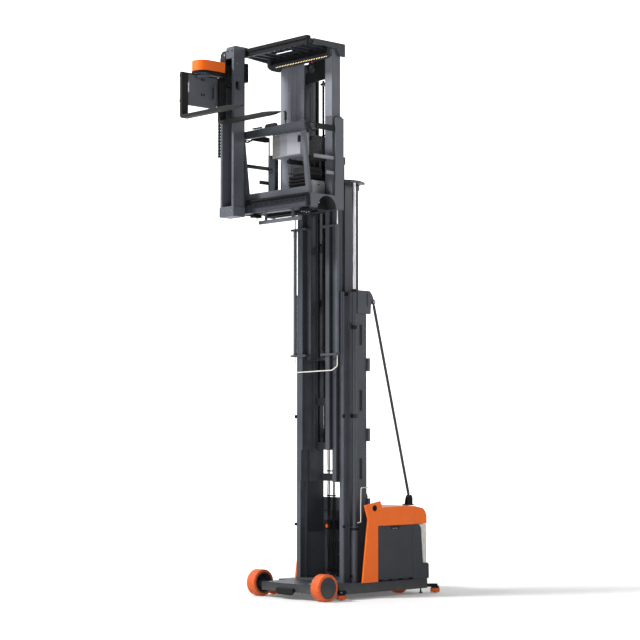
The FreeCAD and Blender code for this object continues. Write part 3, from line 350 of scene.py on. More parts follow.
class Look(Enum):
    """The truck's finishes, each started from the real material and how it was made.

    The numbers are the roughness and its drift, then the patches, the grain and its depth in mm.
    """

    # Polyester powder coat on steel: cured in an oven, so it has a soft satin gloss and a faint
    # orange peel that breaks up reflections in the long flat faces.
    GRAPHITE = Finish("graphite_powder_coat", "#2A2D33", "#30343A", 0.40, 0.12, 420, 4, 0.06,
                      EVEN, 0.25)
    # The same coat low on the chassis, where dust from the floor settles on it.
    GRAPHITE_LOW = Finish("graphite_powder_coat_dusty", "#282B30", "#2F3237", 0.44, 0.16, 160, 4,
                          0.06, EVEN, 0.3, dust_mm=220.0)
    # A lighter shade of it on the turret's small mast and the panels of the cab's front.
    SLATE = Finish("slate_powder_coat", "#474A51", "#4E5158", 0.38, 0.12, 420, 4, 0.06, EVEN, 0.25)
    # Rolled mast profiles under the same coat: the drawn lines of the rolling run along them.
    ROLLED = Finish("coated_rolled_profile", "#33363C", "#3A3E44", 0.36, 0.12, 600, 5, 0.08,
                    ROLLING, 0.3)
    # The fixed mast's profiles in the same coat, painted paler: a painted lit copy of the rolled
    # coat for the brighter, unshaded lower mast.
    ROLLED_PAINTED_LIT = Finish("fixed_profile_painted_lit", "#3D4046", "#454950", 0.40, 0.12, 600, 5, 0.08,
                    ROLLING, 0.3)
    # Two-pack enamel sprayed on steel covers: deep orange, glossy, with a light orange peel.
    ORANGE = Finish("orange_enamel", "#DE620A", "#D65C08", 0.38, 0.10, 500, 7, 0.05, EVEN, 0.3)
    # Cast polyurethane tyre: satin, slightly mottled, scuffed by the floor.
    POLYURETHANE = Finish("cast_polyurethane", "#C65316", "#B84A12", 0.6, 0.22, 40, 2, 0.20)
    # Blackened steel of rails and racks: oiled, so dark with a low sheen.
    BLACKENED = Finish("blackened_steel", "#101112", "#18191B", 0.46, 0.18, 90, 1.6, 0.08,
                       EVEN, 0.1)
    # Forged fork steel: dark scale with streaks rubbed bright along the blade.
    FORGED = Forged("forged_fork_steel", "#161616", "#1E1E1D", 0.55, 0.15, 80, 3, 0.12,
                    (1.0, 0.25, 0.5), 0.15)
    # Drawn cylinder tube under grey paint: smooth, so it catches a long highlight.
    GREY_TUBE = Finish("painted_cylinder_tube", "#43474E", "#4C5158", 0.40, 0.08, 300, 3, 0.05,
                       EVEN, 0.3)
    # Hard chrome ground round: a mirror with fine rings left by the grinding wheel.
    CHROME = Finish("ground_hard_chrome", "#F2F2F4", "#E6E7EA", 0.30, 0.08, 200, 1.2, 0.02,
                    (0.3, 0.3, 1.0), metallic=1.0)
    # Zinc-plated fasteners and brackets: bright but milky.
    ZINC = Finish("bright_zinc_plate", "#A9ACB0", "#8F9296", 0.30, 0.14, 30, 1, 0.05, metallic=0.9)
    # Light-grey powder coat of brackets and the formed line between the cylinders.
    PALE_COAT = Finish("pale_grey_coat", "#C9C7BE", "#B7B5AC", 0.38, 0.12, 60, 2, 0.05)
    # Moulded black ABS: matt, with a fine leather grain.
    BLACK_ABS = Moulded("black_moulded_abs", "#0F1011", "#161718", 0.52, 0.12, 120, 2.5, 0.12,
                        EVEN, 0.2)
    # Moulded light-grey ABS of the console: paler where the tool was polished.
    GREY_ABS = Moulded("grey_moulded_abs", "#6C6E73", "#66686D", 0.42, 0.12, 260, 2.5, 0.08)
    # The console's warmer grey facet: the same plastic painted darker as a painted shaded copy,
    # with a coarser grain.
    ABS_PAINTED_SHADE = Moulded("grey_abs_painted_shade", "#5C5B5A", "#636261", 0.50, 0.12, 200, 4, 0.12)
    # The same plastic in a paler grey, on the console's left end and the locker.
    PALE_ABS = Moulded("pale_grey_moulded_abs", "#7A7D83", "#82858B", 0.40, 0.12, 260, 2.5, 0.08)
    # Anodised aluminium sheet: brushed upwards before it was anodised.
    ANODISED = Finish("anodised_aluminium_sheet", "#6A6D76", "#72757E", 0.42, 0.10, 400, 2, 0.05,
                      (1.0, 1.0, 0.03), metallic=0.15)
    # Polyester seat cloth: threads drawn coarser than real so that they show.
    SEAT_CLOTH = Woven("woven_seat_cloth", "#29292B", "#161617", 0.80, 0.10, 240, 3, 0.5,
                       EVEN, 0.15, sheen=0.08)
    # Vinyl piping and bolsters: embossed with a leather grain.
    VINYL = Moulded("embossed_vinyl", "#1A1A1C", "#232325", 0.5, 0.12, 60, 3, 0.2, EVEN, 0.2)
    # Hose and mat rubber: extruded, dull, greyed by handling.
    RUBBER = Finish("extruded_rubber", "#121212", "#1C1C1C", 0.66, 0.18, 50, 1.5, 0.10, EVEN, 0.12)
    # Steel battery case: dipped in acid-proof paint, which runs a little.
    BATTERY = Finish("acid_proof_paint", "#26272A", "#303236", 0.52, 0.16, 120, 9, 0.25)
    # Lamps: opal diffusers over warm and cool white diodes, and one red marker.
    WARM_DIODE = Glowing("warm_diode", "#FFE9B8", "#FFDF9E", 0.3, power=1.6)
    COOL_DIODE = Glowing("cool_diode", "#F6F8FF", "#EDF1FF", 0.3, power=1.4)
    RED_DIODE = Glowing("red_diode", "#E0281C", "#C8201A", 0.3, power=2.5)
    # Matt backdrop paper with painted light: it glows of itself, faintly near the truck and fully
    # away from it, so the floor round the truck is painted darker than the far floor.
    PAPER = Backdrop("backdrop_paper_painted_glow", "#D2D2D2", "#CECECE", 0.9, 0.1, 3000, 20, 0.05)
    # Dark glass of screens and scanners: float glass over a black mask.
    DARK_GLASS = Finish("masked_glass", "#0B0D10", "#10141A", 0.06, 0.05, 200, 40, 0.02, coat=1.0)

    @property
    def slot(self) -> str:
        """Return the record's material slot that pieces of this finish mostly take it from."""
        for slot, looks in (
                ("anthracite", (Look.GRAPHITE, Look.GRAPHITE_LOW, Look.SLATE)),
                ("black_plastic", (Look.BLACK_ABS, Look.RUBBER, Look.DARK_GLASS, Look.RED_DIODE)),
                ("light_grey_plastic", (Look.GREY_ABS, Look.ABS_PAINTED_SHADE, Look.PALE_ABS,
                                        Look.PALE_COAT, Look.WARM_DIODE, Look.COOL_DIODE)),
                ("light_grey_panel", (Look.ANODISED,)), ("orange_paint", (Look.ORANGE,)),
                ("silver_paint", (Look.CHROME, Look.GREY_TUBE)), ("fork_steel", (Look.FORGED,)),
                ("orange_polyurethane", (Look.POLYURETHANE,)),
                ("seat_fabric", (Look.SEAT_CLOTH, Look.VINYL))):
            if self in looks:
                return slot
        return "black_steel"


def dress(look: Look, *nodes: str) -> None:
    """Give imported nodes' slots a finish."""
    for node in nodes:
        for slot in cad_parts[node].material_slots:
            slot.material = look.value.make()


# --------------------------------------------------------------------------------------------
# Mesh making
# --------------------------------------------------------------------------------------------
class Form:
    """A mesh in the making, in millimetres from the floor under the middle of the load axle."""

    def __init__(self) -> None:
        self.mesh = bmesh.new()

    @classmethod
    def copy_of(cls, node: str, edge: float, sharp: float = 28.0, segments: int = 3) -> "Form":
        """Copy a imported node's mesh with its edges rounded.

        Args:
            node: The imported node.
            edge: How far the rounding reaches from each edge.
            sharp: The least angle in degrees at an edge that is rounded.
            segments: How many strips each rounding has.

        Returns:
            The form.
        """
        form = cls()
        form.mesh.from_mesh(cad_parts[node].data)
        form.mesh.transform(Matrix.Scale(1 / MM, 4) @ Matrix.Translation(-AXLE))
        bmesh.ops.remove_doubles(form.mesh, verts=form.mesh.verts, dist=0.02)
        bmesh.ops.dissolve_limit(form.mesh, angle_limit=math.radians(1.0), verts=form.mesh.verts,
                                 edges=form.mesh.edges, use_dissolve_boundaries=False)
        corners = [e for e in form.mesh.edges
                   if len(e.link_faces) == 2 and e.calc_face_angle(0.0) > math.radians(sharp)]
        form.round_edges(corners, edge, segments)
        return form

    def round_edges(self, edges: Iterable[bmesh.types.BMEdge], width: float,
                    segments: int = 2) -> None:
        """Round edges of the mesh by a width."""
        bmesh.ops.bevel(self.mesh, geom=list(edges), offset=width, offset_type="OFFSET",
                        segments=segments, profile=0.5, affect="EDGES", clamp_overlap=True)

    def block(self, low: Point, high: Point, edge: float = 2.0, both: bool = False) -> "Form":
        """Add a block between two corners, with its edges rounded.

        Args:
            low: The lower corner.
            high: The higher corner.
            edge: How far the rounding reaches from each edge.
            both: Whether the block's mirror image on the truck's other side is added too.

        Returns:
            This form.
        """
        made = bmesh.ops.create_cube(self.mesh, size=1.0)["verts"]
        for vertex in made:
            vertex.co = Vector([(a + b) / 2 + c * (b - a) for a, b, c in zip(low, high, vertex.co)])
        if edge:
            self.round_edges({e for v in made for e in v.link_edges}, edge)
        if both:
            self.block((low[0], -high[1], low[2]), (high[0], -low[1], high[2]), edge)
        return self

    def turned(self, axis: Axis, centre: Point, profile: Iterable[tuple[float, float]],
               sides: int = 24, both: bool = False) -> "Form":
        """Turn a profile about an axis.

        Args:
            axis: The direction of the axis.
            centre: The point where the profile's places along the axis start.
            profile: Points of (radius, place along the axis).
            sides: The number of flats round the axis.
            both: Whether the mirror image on the truck's other side is added too.

        Returns:
            This form.
        """
        rings = []
        for radius, along in profile:
            angles = [math.tau * i / sides for i in range(sides)] if radius else [0.0]
            rings.append([self.mesh.verts.new(Vector(centre) + axis.place(
                along, (radius * math.cos(a), radius * math.sin(a)))) for a in angles])
        for low, high in zip(rings, rings[1:]):
            for i in range(sides):
                j = (i + 1) % sides
                corners = dict.fromkeys((low[i % len(low)], low[j % len(low)],
                                         high[j % len(high)], high[i % len(high)]))
                if len(corners) > 2:
                    self.mesh.faces.new(tuple(corners))
        if both:
            way = -1 if axis is Axis.Y else 1
            self.turned(axis, (centre[0], -centre[1], centre[2]),
                        [(radius, way * along) for radius, along in profile], sides)
        return self

    def disc(self, axis: Axis, centre: Point, radius: float, thick: float,
             edge: float = 2.0, sides: int = 20, both: bool = False) -> "Form":
        """Add a round disc from a centre along an axis, with chamfered rims."""
        rim = math.copysign(edge, thick)
        return self.turned(axis, centre, (
            (0, 0), (radius - edge, 0), (radius, rim), (radius, thick - rim),
            (radius - edge, thick), (0, thick)), sides, both)

    def bolt(self, axis: Axis, centre: Point, facing: int, across: float = 18.0,
             both: bool = False) -> "Form":
        """Add a hexagon bolt's head on its washer.

        Args:
            axis: The bolt's direction.
            centre: The middle of the washer's seat.
            facing: 1 or -1, the way the head points along the axis.
            across: The head's width across its corners.
            both: Whether the mirror image on the truck's other side is added too.

        Returns:
            This form.
        """
        half, top = across / 2, facing * across * 0.625
        self.turned(axis, centre, ((0, 0), (half * 1.25, 0), (half * 1.25, facing * 2.0),
                                   (half, facing * 2.0)), 16, both)
        return self.turned(axis, centre, (
            (half, facing), (half, facing * half), (half * 0.85, top), (0, top)), 6, both)

    def plate(self, axis: Axis, outline: Sequence[Point], low: float, high: float,
              edge: float = 1.5, both: bool = False) -> "Form":
        """Add a flat plate from its outline across an axis, with its edges rounded.

        Args:
            axis: The direction across the plate.
            outline: The plate's corners, by their two other coordinates.
            low: Where the plate starts along the axis.
            high: Where it ends.
            edge: How far the rounding reaches from each edge.
            both: Whether the mirror image of a plate across Y is added too.

        Returns:
            This form.
        """
        rings = [[self.mesh.verts.new(axis.place(along, point)) for point in outline]
                 for along in (low, high)]
        count = len(outline)
        faces = [self.mesh.faces.new(ring) for ring in rings]
        faces += [self.mesh.faces.new((rings[0][i], rings[0][(i + 1) % count],
                                       rings[1][(i + 1) % count], rings[1][i]))
                  for i in range(count)]
        if edge:
            self.round_edges({e for face in faces for e in face.edges}, edge)
        return self.plate(axis, outline, -high, -low, edge) if both else self

    def tube(self, points: Sequence[Point], radius: float, sides: int = 12,
             steps: int = 6) -> "Form":
        """Add a hose or formed rod along a smooth line through points.

        Args:
            points: The points that the line goes through.
            radius: The hose's radius.
            sides: The number of flats round it.
            steps: How many short runs each stretch between points has.

        Returns:
            This form.
        """
        path = smooth_line([Vector(p) for p in points], steps)
        ways = [(b - a).normalized() for a, b in zip(path, path[1:])]
        ways.append(ways[-1])
        across = ways[0].orthogonal().normalized()
        rings = []
        for place, way in zip(path, ways):
            across = (across - way * across.dot(way)).normalized()
            rings.append([self.mesh.verts.new(place + Quaternion(way, math.tau * i / sides) @ (
                across * radius)) for i in range(sides)])
        for low, high in zip(rings, rings[1:]):
            for i in range(sides):
                j = (i + 1) % sides
                self.mesh.faces.new((low[i], low[j], high[j], high[i]))
        for ring in (rings[0], rings[-1]):
            self.mesh.faces.new(ring)
        return self

    def piece(self, name: str, look: Look, body: str, slot: str = "",
              replaces: Sequence[str] = (), smooth: float = 35.0) -> bpy.types.Object:
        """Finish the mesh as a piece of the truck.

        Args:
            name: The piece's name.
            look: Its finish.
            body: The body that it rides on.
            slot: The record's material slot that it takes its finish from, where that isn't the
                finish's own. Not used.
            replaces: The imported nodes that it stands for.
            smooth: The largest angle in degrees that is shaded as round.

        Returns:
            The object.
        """
        bmesh.ops.recalc_face_normals(self.mesh, faces=self.mesh.faces)
        self.mesh.transform(Matrix.Translation(AXLE) @ Matrix.Scale(MM, 4))
        data = bpy.data.meshes.new(name)
        self.mesh.to_mesh(data)
        self.mesh.free()
        flatten_wide_faces(data)
        data.set_sharp_from_angle(angle=math.radians(smooth))
        data.materials.append(look.value.make())
        piece = bpy.data.objects.new(name, data)
        bpy.context.scene.collection.objects.link(piece)
        flats = piece.modifiers.new("flats", "WEIGHTED_NORMAL")
        flats.keep_sharp, flats.weight = True, 100
        apply_modifiers(piece)
        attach(piece, body)
        if replaces:
            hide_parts(*replaces)
        log.info("%s: %d faces on %s", name, len(piece.data.polygons), body)
        return piece


def flatten_wide_faces(data: bpy.types.Mesh) -> None:
    """Shade flat each face that isn't one strip of a curve of like strips."""
    mesh = bmesh.new()
    mesh.from_mesh(data)
    patch, areas = {}, []
    for start in mesh.faces:
        if start in patch:
            continue
        patch[start], total, reached = len(areas), 0.0, [start]
        while reached:
            face = reached.pop()
            total += face.calc_area()
            for edge in face.edges:
                for other in edge.link_faces:
                    if other not in patch and edge.calc_face_angle(1.0) < 0.01:
                        patch[other] = len(areas)
                        reached.append(other)
        areas.append(total)
    for face in mesh.faces:
        least = areas[patch[face]] * 0.25
        face.smooth = any(
            0.017 < edge.calc_face_angle(0.0) < 0.56 and areas[patch[other]] > least
            for edge in face.edges for other in edge.link_faces if other is not face)
    mesh.to_mesh(data)
    mesh.free()


def apply_modifiers(piece: bpy.types.Object) -> None:
    """Replace a piece's mesh by what its modifiers make of it, and drop them."""
    graph = bpy.context.evaluated_depsgraph_get()
    made = bpy.data.meshes.new_from_object(piece.evaluated_get(graph))
    piece.modifiers.clear()
    piece.data = made


def rounded_outline(low: Sequence[float], high: Sequence[float], radius: float) -> list[Point]:
    """Return the outline of a rectangle with round corners."""
    outline = []
    for k, (u, v) in enumerate(((1, 1), (0, 1), (0, 0), (1, 0))):
        centre = ((high[0] - radius) if u else (low[0] + radius),
                  (high[1] - radius) if v else (low[1] + radius))
        for i in range(9):
            angle = math.pi / 2 * (k + i / 8)
            outline.append((centre[0] + radius * math.cos(angle),
                            centre[1] + radius * math.sin(angle)))
    return outline


def smooth_line(points: Sequence[Vector], steps: int) -> list[Vector]:
    """Return points on a smooth line through the given ones."""
    if steps < 2:
        return list(points)
    ends = [points[0] * 2 - points[1], *points, points[-1] * 2 - points[-2]]
    line = []
    for a, b, c, d in zip(ends, ends[1:], ends[2:], ends[3:]):
        for step in range(steps):
            t = step / steps
            line.append(0.5 * (2 * b + (c - a) * t + (2 * a - 5 * b + 4 * c - d) * t ** 2
                               + (3 * b - a - 3 * c + d) * t ** 3))
    return [*line, points[-1]]


def steps_between(low: float, high: float, count: int) -> list[float]:
    """Return evenly spaced places from low to high."""
    return [low + (high - low) * i / (count - 1) for i in range(count)]


def chain_links(form: Form, x: float, y: float, low: float, pitch: float, count: int,
                size: Point, link: float) -> Form:
    """Add the overlapping link plates of a leaf chain that hangs straight.

    Args:
        form: The form that gets them.
        x: The chain's place along the truck.
        y: Its place across the truck.
        low: Its lower end.
        pitch: The spacing of its pins.
        count: How many links it has.
        size: Half a plate's depth, half its thickness and half the chain's width.
        link: The length of a plate.

    Returns:
        The form.
    """
    deep, thin, wide = size
    for i in range(count):
        for k, dy in enumerate((-wide, -wide / 3, wide / 3, wide)):
            z = low + i * pitch + (pitch / 2 if (i + k) % 2 else 0.0)
            form.block((x - deep, y + dy - thin, z), (x + deep, y + dy + thin, z + link), 0)
    return form


# --------------------------------------------------------------------------------------------
# Chassis and wheels
# --------------------------------------------------------------------------------------------
@dataclass(frozen=True)
class Chassis:
    """The welded chassis with its front arms, sensor block, guide rollers and rear bumper.

    Attributes:
        bolt: The width across the corners of the large bolts' heads.
        small_bolt: The width across the corners of the small ones.
        edge: The rounding on pressed sheet.
    """

    bolt: float = 26.0
    small_bolt: float = 15.0
    edge: float = 7.0

    def build(self) -> None:
        """Build the chassis' small parts and finish its nodes."""
        self.dress()
        self.build_bolts()
        self.build_scanner()
        self.build_bumper()

    def dress(self) -> None:
        """Give the chassis' nodes their finishes."""
        dress(Look.GRAPHITE_LOW, "chassis_frame", "drive_unit_left", "drive_unit_right")
        dress(Look.BLACKENED, "load_axles", "guide_brackets")
        dress(Look.BATTERY, "battery_block")

    def build_bolts(self) -> None:
        """Build the bolts of the mast's foot, of the deck's front and over the guide rollers."""
        form, deck, foot = Form(), Span.of("chassis_frame"), Span.of("fixed_mast")
        for x in (-1150, -1080, -1020, -890):
            form.bolt(Axis.Z, (x, 300, foot.low.z + 25), 1, self.bolt, both=True)
        for y in steps_between(-420, 420, 6):
            form.bolt(Axis.Z, (deck.high.x - 70, y, 220), 1, self.small_bolt)
        form.piece("deck_bolts", Look.ZINC, "chassis")
        form = Form()
        for end in ("front", "rear"):
            for side in Side:
                box = Span.of(f"guide_roller_{end}_{side.word}")
                form.bolt(Axis.Z, (box.middle.x, box.middle.y, box.high.z + 30), 1, self.bolt)
        form.piece("roller_bolts", Look.ZINC, "chassis")

    def build_scanner(self) -> None:
        """Build the floor scanner's rounded housing with its dark window."""
        box = Span.of("front_sensor_block")
        middle = box.middle
        Form.copy_of("front_sensor_block", 8.0).piece(
            "floor_scanner", Look.BLACK_ABS, "chassis", replaces=["front_sensor_block"])
        Form().block((box.high.x - 3, middle.y - 120, middle.z - 12),
                     (box.high.x - 0.2, middle.y + 120, middle.z + 14), 1.0).piece(
            "scanner_window", Look.DARK_GLASS, "chassis")

    def build_bumper(self) -> None:
        """Build the rear bumper from rounded sheet, with its bolts."""
        Form.copy_of("rear_bumper", self.edge).piece(
            "rear_bumper_sheet", Look.GRAPHITE_LOW, "chassis", replaces=["rear_bumper"])
        form, rear = Form(), Span.of("rear_bumper").low.x
        for y in (540, 620):
            form.disc(Axis.X, (rear + 3, y, 330), 11, -2.8, 1.0, both=True)
        form.piece("bumper_screws", Look.ZINC, "chassis")


@dataclass(frozen=True)
class Wheels:
    """The load wheels under the cab and the steered drive wheels under the battery.

    Attributes:
        bolt_circle: The radius of the circle that the wheel bolts stand on.
        bolts: How many bolts each hub has.
        crown: The rounding at the tyre's shoulders.
    """

    bolt_circle: float = 96.0
    bolts: int = 8
    crown: float = 9.0

    def build(self) -> None:
        """Build the tyres, hub covers and bolts in place of the wheels' nodes."""
        for side in Side:
            self.build_load_wheel(side)
            self.build_drive_wheel(side)
            for end in ("front", "rear"):
                node = f"guide_roller_{end}_{side.word}"
                self.build_tyre(node, f"{node}_rim", node, Axis.Z, 12.1)

    def build_tyre(self, node: str, name: str, body: str, axis: Axis, bore: float) -> None:
        """Build one tyre with round shoulders in place of its node.

        Args:
            node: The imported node.
            name: The piece's name.
            body: The wheel's body.
            axis: The wheel's axle.
            bore: The radius of the hole in it.
        """
        box = Span.of(node)
        half = (box.high - box.low)[axis.value] / 2
        radius = max(box.high - box.middle)
        e = self.crown * radius / 190
        shoulder = ((bore, half), (radius - 1.6 * e, half), (radius - 0.6 * e, half - e * 0.4),
                    (radius - 0.12 * e, half - 1.1 * e), (radius, half - 2 * e))
        profile = [(r, -along) for r, along in shoulder] + [*reversed(shoulder), (bore, -half)]
        Form().turned(axis, box.middle, profile, 96).piece(
            name, Look.POLYURETHANE, body, replaces=[node], smooth=50.0)

    def bolt_places(self, middle: Vector) -> list[tuple[float, float]]:
        """Return the hub bolts' places along and over the truck."""
        angles = [math.tau * (i + 0.5) / self.bolts for i in range(self.bolts)]
        return [(middle.x + self.bolt_circle * math.cos(a),
                 middle.z + self.bolt_circle * math.sin(a)) for a in angles]

    def build_load_wheel(self, side: Side) -> None:
        """Build one load wheel's tyre, and the bearing cap and bolts sunk in its hub's face."""
        body, node = f"load_wheel_{side.word}", f"load_hub_{side.word}"
        self.build_tyre(f"load_tyre_{side.word}", f"load_tread_{side.word}", body, Axis.Y, 152.0)
        hub, s = Span.of(node), side.value
        half = (hub.high.y - hub.low.y) / 2
        form = Form().turned(Axis.Y, hub.middle, [(r, s * along) for r, along in (
            (30.1, -half), (60, -half), (60, half - 44), (130, half - 44), (130, -half),
            (151.6, -half), (151.6, half - 2.4), (149, half), (138, half), (134, half - 3),
            (70, half - 3), (66, half), (0, half))], 96)
        for x, z in self.bolt_places(hub.middle):
            form.turned(Axis.Y, (x, hub.middle.y, z), [(r, s * (half - sunk)) for r, sunk in (
                (10, 4), (10, 1), (8, 0), (0, 0))], 6)
        form.piece(f"load_disc_{side.word}", Look.GRAPHITE_LOW, body, replaces=[node])

    def build_drive_wheel(self, side: Side) -> None:
        """Build one drive wheel's tread, and its hub nut and bolts on the outer side."""
        body, s, height = f"drive_wheel_{side.word}", side.value, 8.0
        self.build_tyre(body, f"drive_tread_{side.word}", body, Axis.Y, 30.1)
        wheel = Span.of(body)
        middle, face = wheel.middle, (wheel.high.y if s > 0 else wheel.low.y) - s * 3
        form = Form()
        for x, z in self.bolt_places(middle):
            form.turned(Axis.Y, (x, face, z), [(r, s * height * share) for r, share in (
                (13, 0), (13, 0.8), (11, 1), (0, 1))], 6)
        form.turned(Axis.Y, (middle.x, face, middle.z), [(r, s * height * share) for r, share in (
            (52, 0), (52, 0.7), (46, 1), (20, 1), (18, 0.8), (0, 0.8))], 36)
        form.piece(f"drive_hub_bolts_{side.word}", Look.ZINC, body)


# --------------------------------------------------------------------------------------------
# Body covers
# --------------------------------------------------------------------------------------------
@dataclass(frozen=True)
class Covers:
    """The battery's doors and bulkhead, the orange hoods and the tail's panels.

    Attributes:
        sheet_edge: The rounding on folded steel covers.
        slots: How many cooling slots the tail has.
        tail_slope: How steeply the rear hood drops to the tail.
    """

    sheet_edge: float = 8.0
    slots: int = 9
    tail_slope: float = 0.2

    def build(self) -> None:
        """Build the covers and their small parts."""
        self.dress()
        self.build_hoods()
        for side in Side:
            self.build_door(side)
        self.build_tail()
        self.build_bulkhead()
        self.build_port()

    def dress(self) -> None:
        """Give the doors and the bulkhead their finishes, and the rear panel a pale coat as painted
        reflection.
        """
        dress(Look.GRAPHITE, "battery_door_left", "battery_door_right", "bulkhead")
        # The rear panel's pale coat is painted reflection of the white light behind the truck.
        dress(Look.PALE_COAT, "rear_panel")

    def build_hoods(self) -> None:
        """Build the orange hoods with their pressed edges, vents and screws."""
        for node, edge in (("side_covers", self.sheet_edge), ("hood_top", self.sheet_edge),
                           ("rear_hood", 16.0)):
            sheet = Form.copy_of(node, edge, 25.0, 4)
            for vertex in sheet.mesh.verts:
                if node == "rear_hood" and vertex.co.z > 1180:
                    vertex.co.z -= max(0.0, -1810 - vertex.co.x) * self.tail_slope
            sheet.piece(f"{node}_sheet", Look.ORANGE, "chassis", replaces=[node])
        top = Span.of("hood_top")
        screws, ribs = Form(), Form()
        for x in steps_between(top.low.x + 60, top.high.x - 60, 4):
            screws.disc(Axis.Z, (x, 520, top.high.z - 0.2), 9, 2.4, 0.8, both=True)
        screws.piece("hood_screws", Look.ZINC, "chassis")
        for x in steps_between(top.low.x + 110, top.low.x + 310, 6):
            ribs.block((x - 8, -260, top.high.z - 1), (x + 8, 260, top.high.z + 1.6), 1.2)
        ribs.piece("hood_vents", Look.BLACK_ABS, "chassis")

    def build_door(self, side: Side) -> None:
        """Build one battery door's lock, a black fill in its grip recess as painted shade, its
        screws and seal.
        """
        node, s = f"battery_door_{side.word}", side.value
        box = Span.of(node)
        face = box.high.y if side is Side.LEFT else box.low.y
        lock, dots, seal = Form(), Form(), Form()
        for x in (-1340, -1375, -1410):
            lock.turned(Axis.Y, (x, face - s * 4, 975), (
                (8, 0), (8, s * 3), (6, s * 3.8), (0, s * 3.8)), 18)
        lock.turned(Axis.Y, (-1375, face - s * 5, 905), (
            (17, 0), (17, s * 4.4), (15, s * 4.9), (6, s * 4.9), (5, s * 2), (0, s * 2)), 28)
        lock.piece(f"door_lock_{side.word}", Look.ZINC, node)
        # The black fill sits nearly flush in the grip recess: painted shade of the recess.
        Form().plate(Axis.Y, ((-1264, 1013), (-1298, 958), (-1452, 958), (-1486, 1013)),
                     *sorted((face - s * 13.9, face - s * 1.5)), 3).piece(
            f"grip_liner_{side.word}", Look.BLACK_ABS, node)
        for x in (-1170, -1597):
            dots.disc(Axis.Y, (x, face - s * 0.3, 985), 9, s * 2.6, 0.8)
        dots.piece(f"door_screws_{side.word}", Look.BLACKENED, node)
        inside = face - s * (box.high.y - box.low.y + 0.5)
        low, high = sorted((inside + s * 4, inside + s * 0.7))
        for z in (262, 1004):
            seal.block((-1725, low, z), (-1050, high, z + 6), 1.0)
        seal.piece(f"door_seal_{side.word}", Look.RUBBER, node)

    def build_tail(self) -> None:
        """Build the tail's curved corner panels, its cooling slots and its lamps."""
        Form.copy_of("rear_corner_panels", 10.0, 25.0, 4).piece(
            "rear_corners", Look.GRAPHITE, "chassis", replaces=["rear_corner_panels"])
        rear, slats = Span.of("rear_panel").low.x, Form()
        for z in steps_between(620, 860, self.slots):
            slats.block((rear + 0.4, -330, z - 7), (rear + 3.0, 330, z + 7), 1.2)
        slats.piece("tail_vents", Look.BLACK_ABS, "chassis")
        rear = Span.of("rear_hood").low.x
        Form().block((rear + 0.3, 505, 1085), (rear + 4.0, 615, 1120), 1.5, True).piece(
            "tail_lamps", Look.RED_DIODE, "chassis")

    def build_bulkhead(self) -> None:
        """Build the bulkhead's access panels and screws, its connector bay and its screen."""
        face = Span.of("bulkhead").high.x
        panels, screws = Form().block((face - 1, -230, 330), (face + 6, 230, 800), 3.0), Form()
        panels.block((face - 1, -640, 330), (face + 6, -300, 800), 3.0, True)
        panels.piece("bulkhead_panels", Look.GRAPHITE, "chassis")
        for y in (210, 320, 620):
            for z in (350, 565, 780):
                screws.disc(Axis.X, (face + 5.8, y, z), 9, 3, 1, both=True)
        screws.piece("bulkhead_screws", Look.ZINC, "chassis")
        for name, look, low, high, edge in (
                ("connector_bay", Look.BLACK_ABS, (-1, -520, 930), (10, -180, 1060), 4.0),
                ("battery_plug", Look.ORANGE, (9, -470, 950), (30, -400, 1000), 6.0),
                ("hood_front_screen", Look.GRAPHITE, (-24, -686, 1088), (-18, 686, 1256), 1.5)):
            Form().block((face + low[0], *low[1:]), (face + high[0], *high[1:]), edge).piece(
                name, look, "chassis")

    def build_port(self) -> None:
        """Build the rings of the hoods' lifting ports, the breather pipe and the jacking foot."""
        Form().turned(Axis.Y, (-960, 696, 1275), (
            (20, 0), (29.5, 0), (29.5, 24), (44, 24.2), (44, 27), (40, 29), (26, 29), (20, 24),
            (20, 0)), 40, True).turned(Axis.Y, (-960, 700, 1275), (
                (0, 0), (12, 0), (12, 16), (8, 19), (0, 19)), 24, True).piece(
            "lifting_port_rings", Look.BLACKENED, "chassis")
        Form().tube([(x, 646, z) for x, z in (
            (-925, 1575), (-800, 1572), (-765, 1566), (-757, 1530), (-752, 1300), (-750, 1120),
            (-745, 1084), (-690, 1072))], 6.5, 12, 5).piece(
            "breather_pipe", Look.PALE_COAT, "chassis")
        Form().turned(Axis.Z, (-1958, 672, 0), (
            (0, 8), (26, 8), (28, 12), (28, 20), (12, 26), (10, 76), (16, 80), (16, 92),
            (0, 92)), 28).piece("jacking_foot", Look.BLACKENED, "chassis")


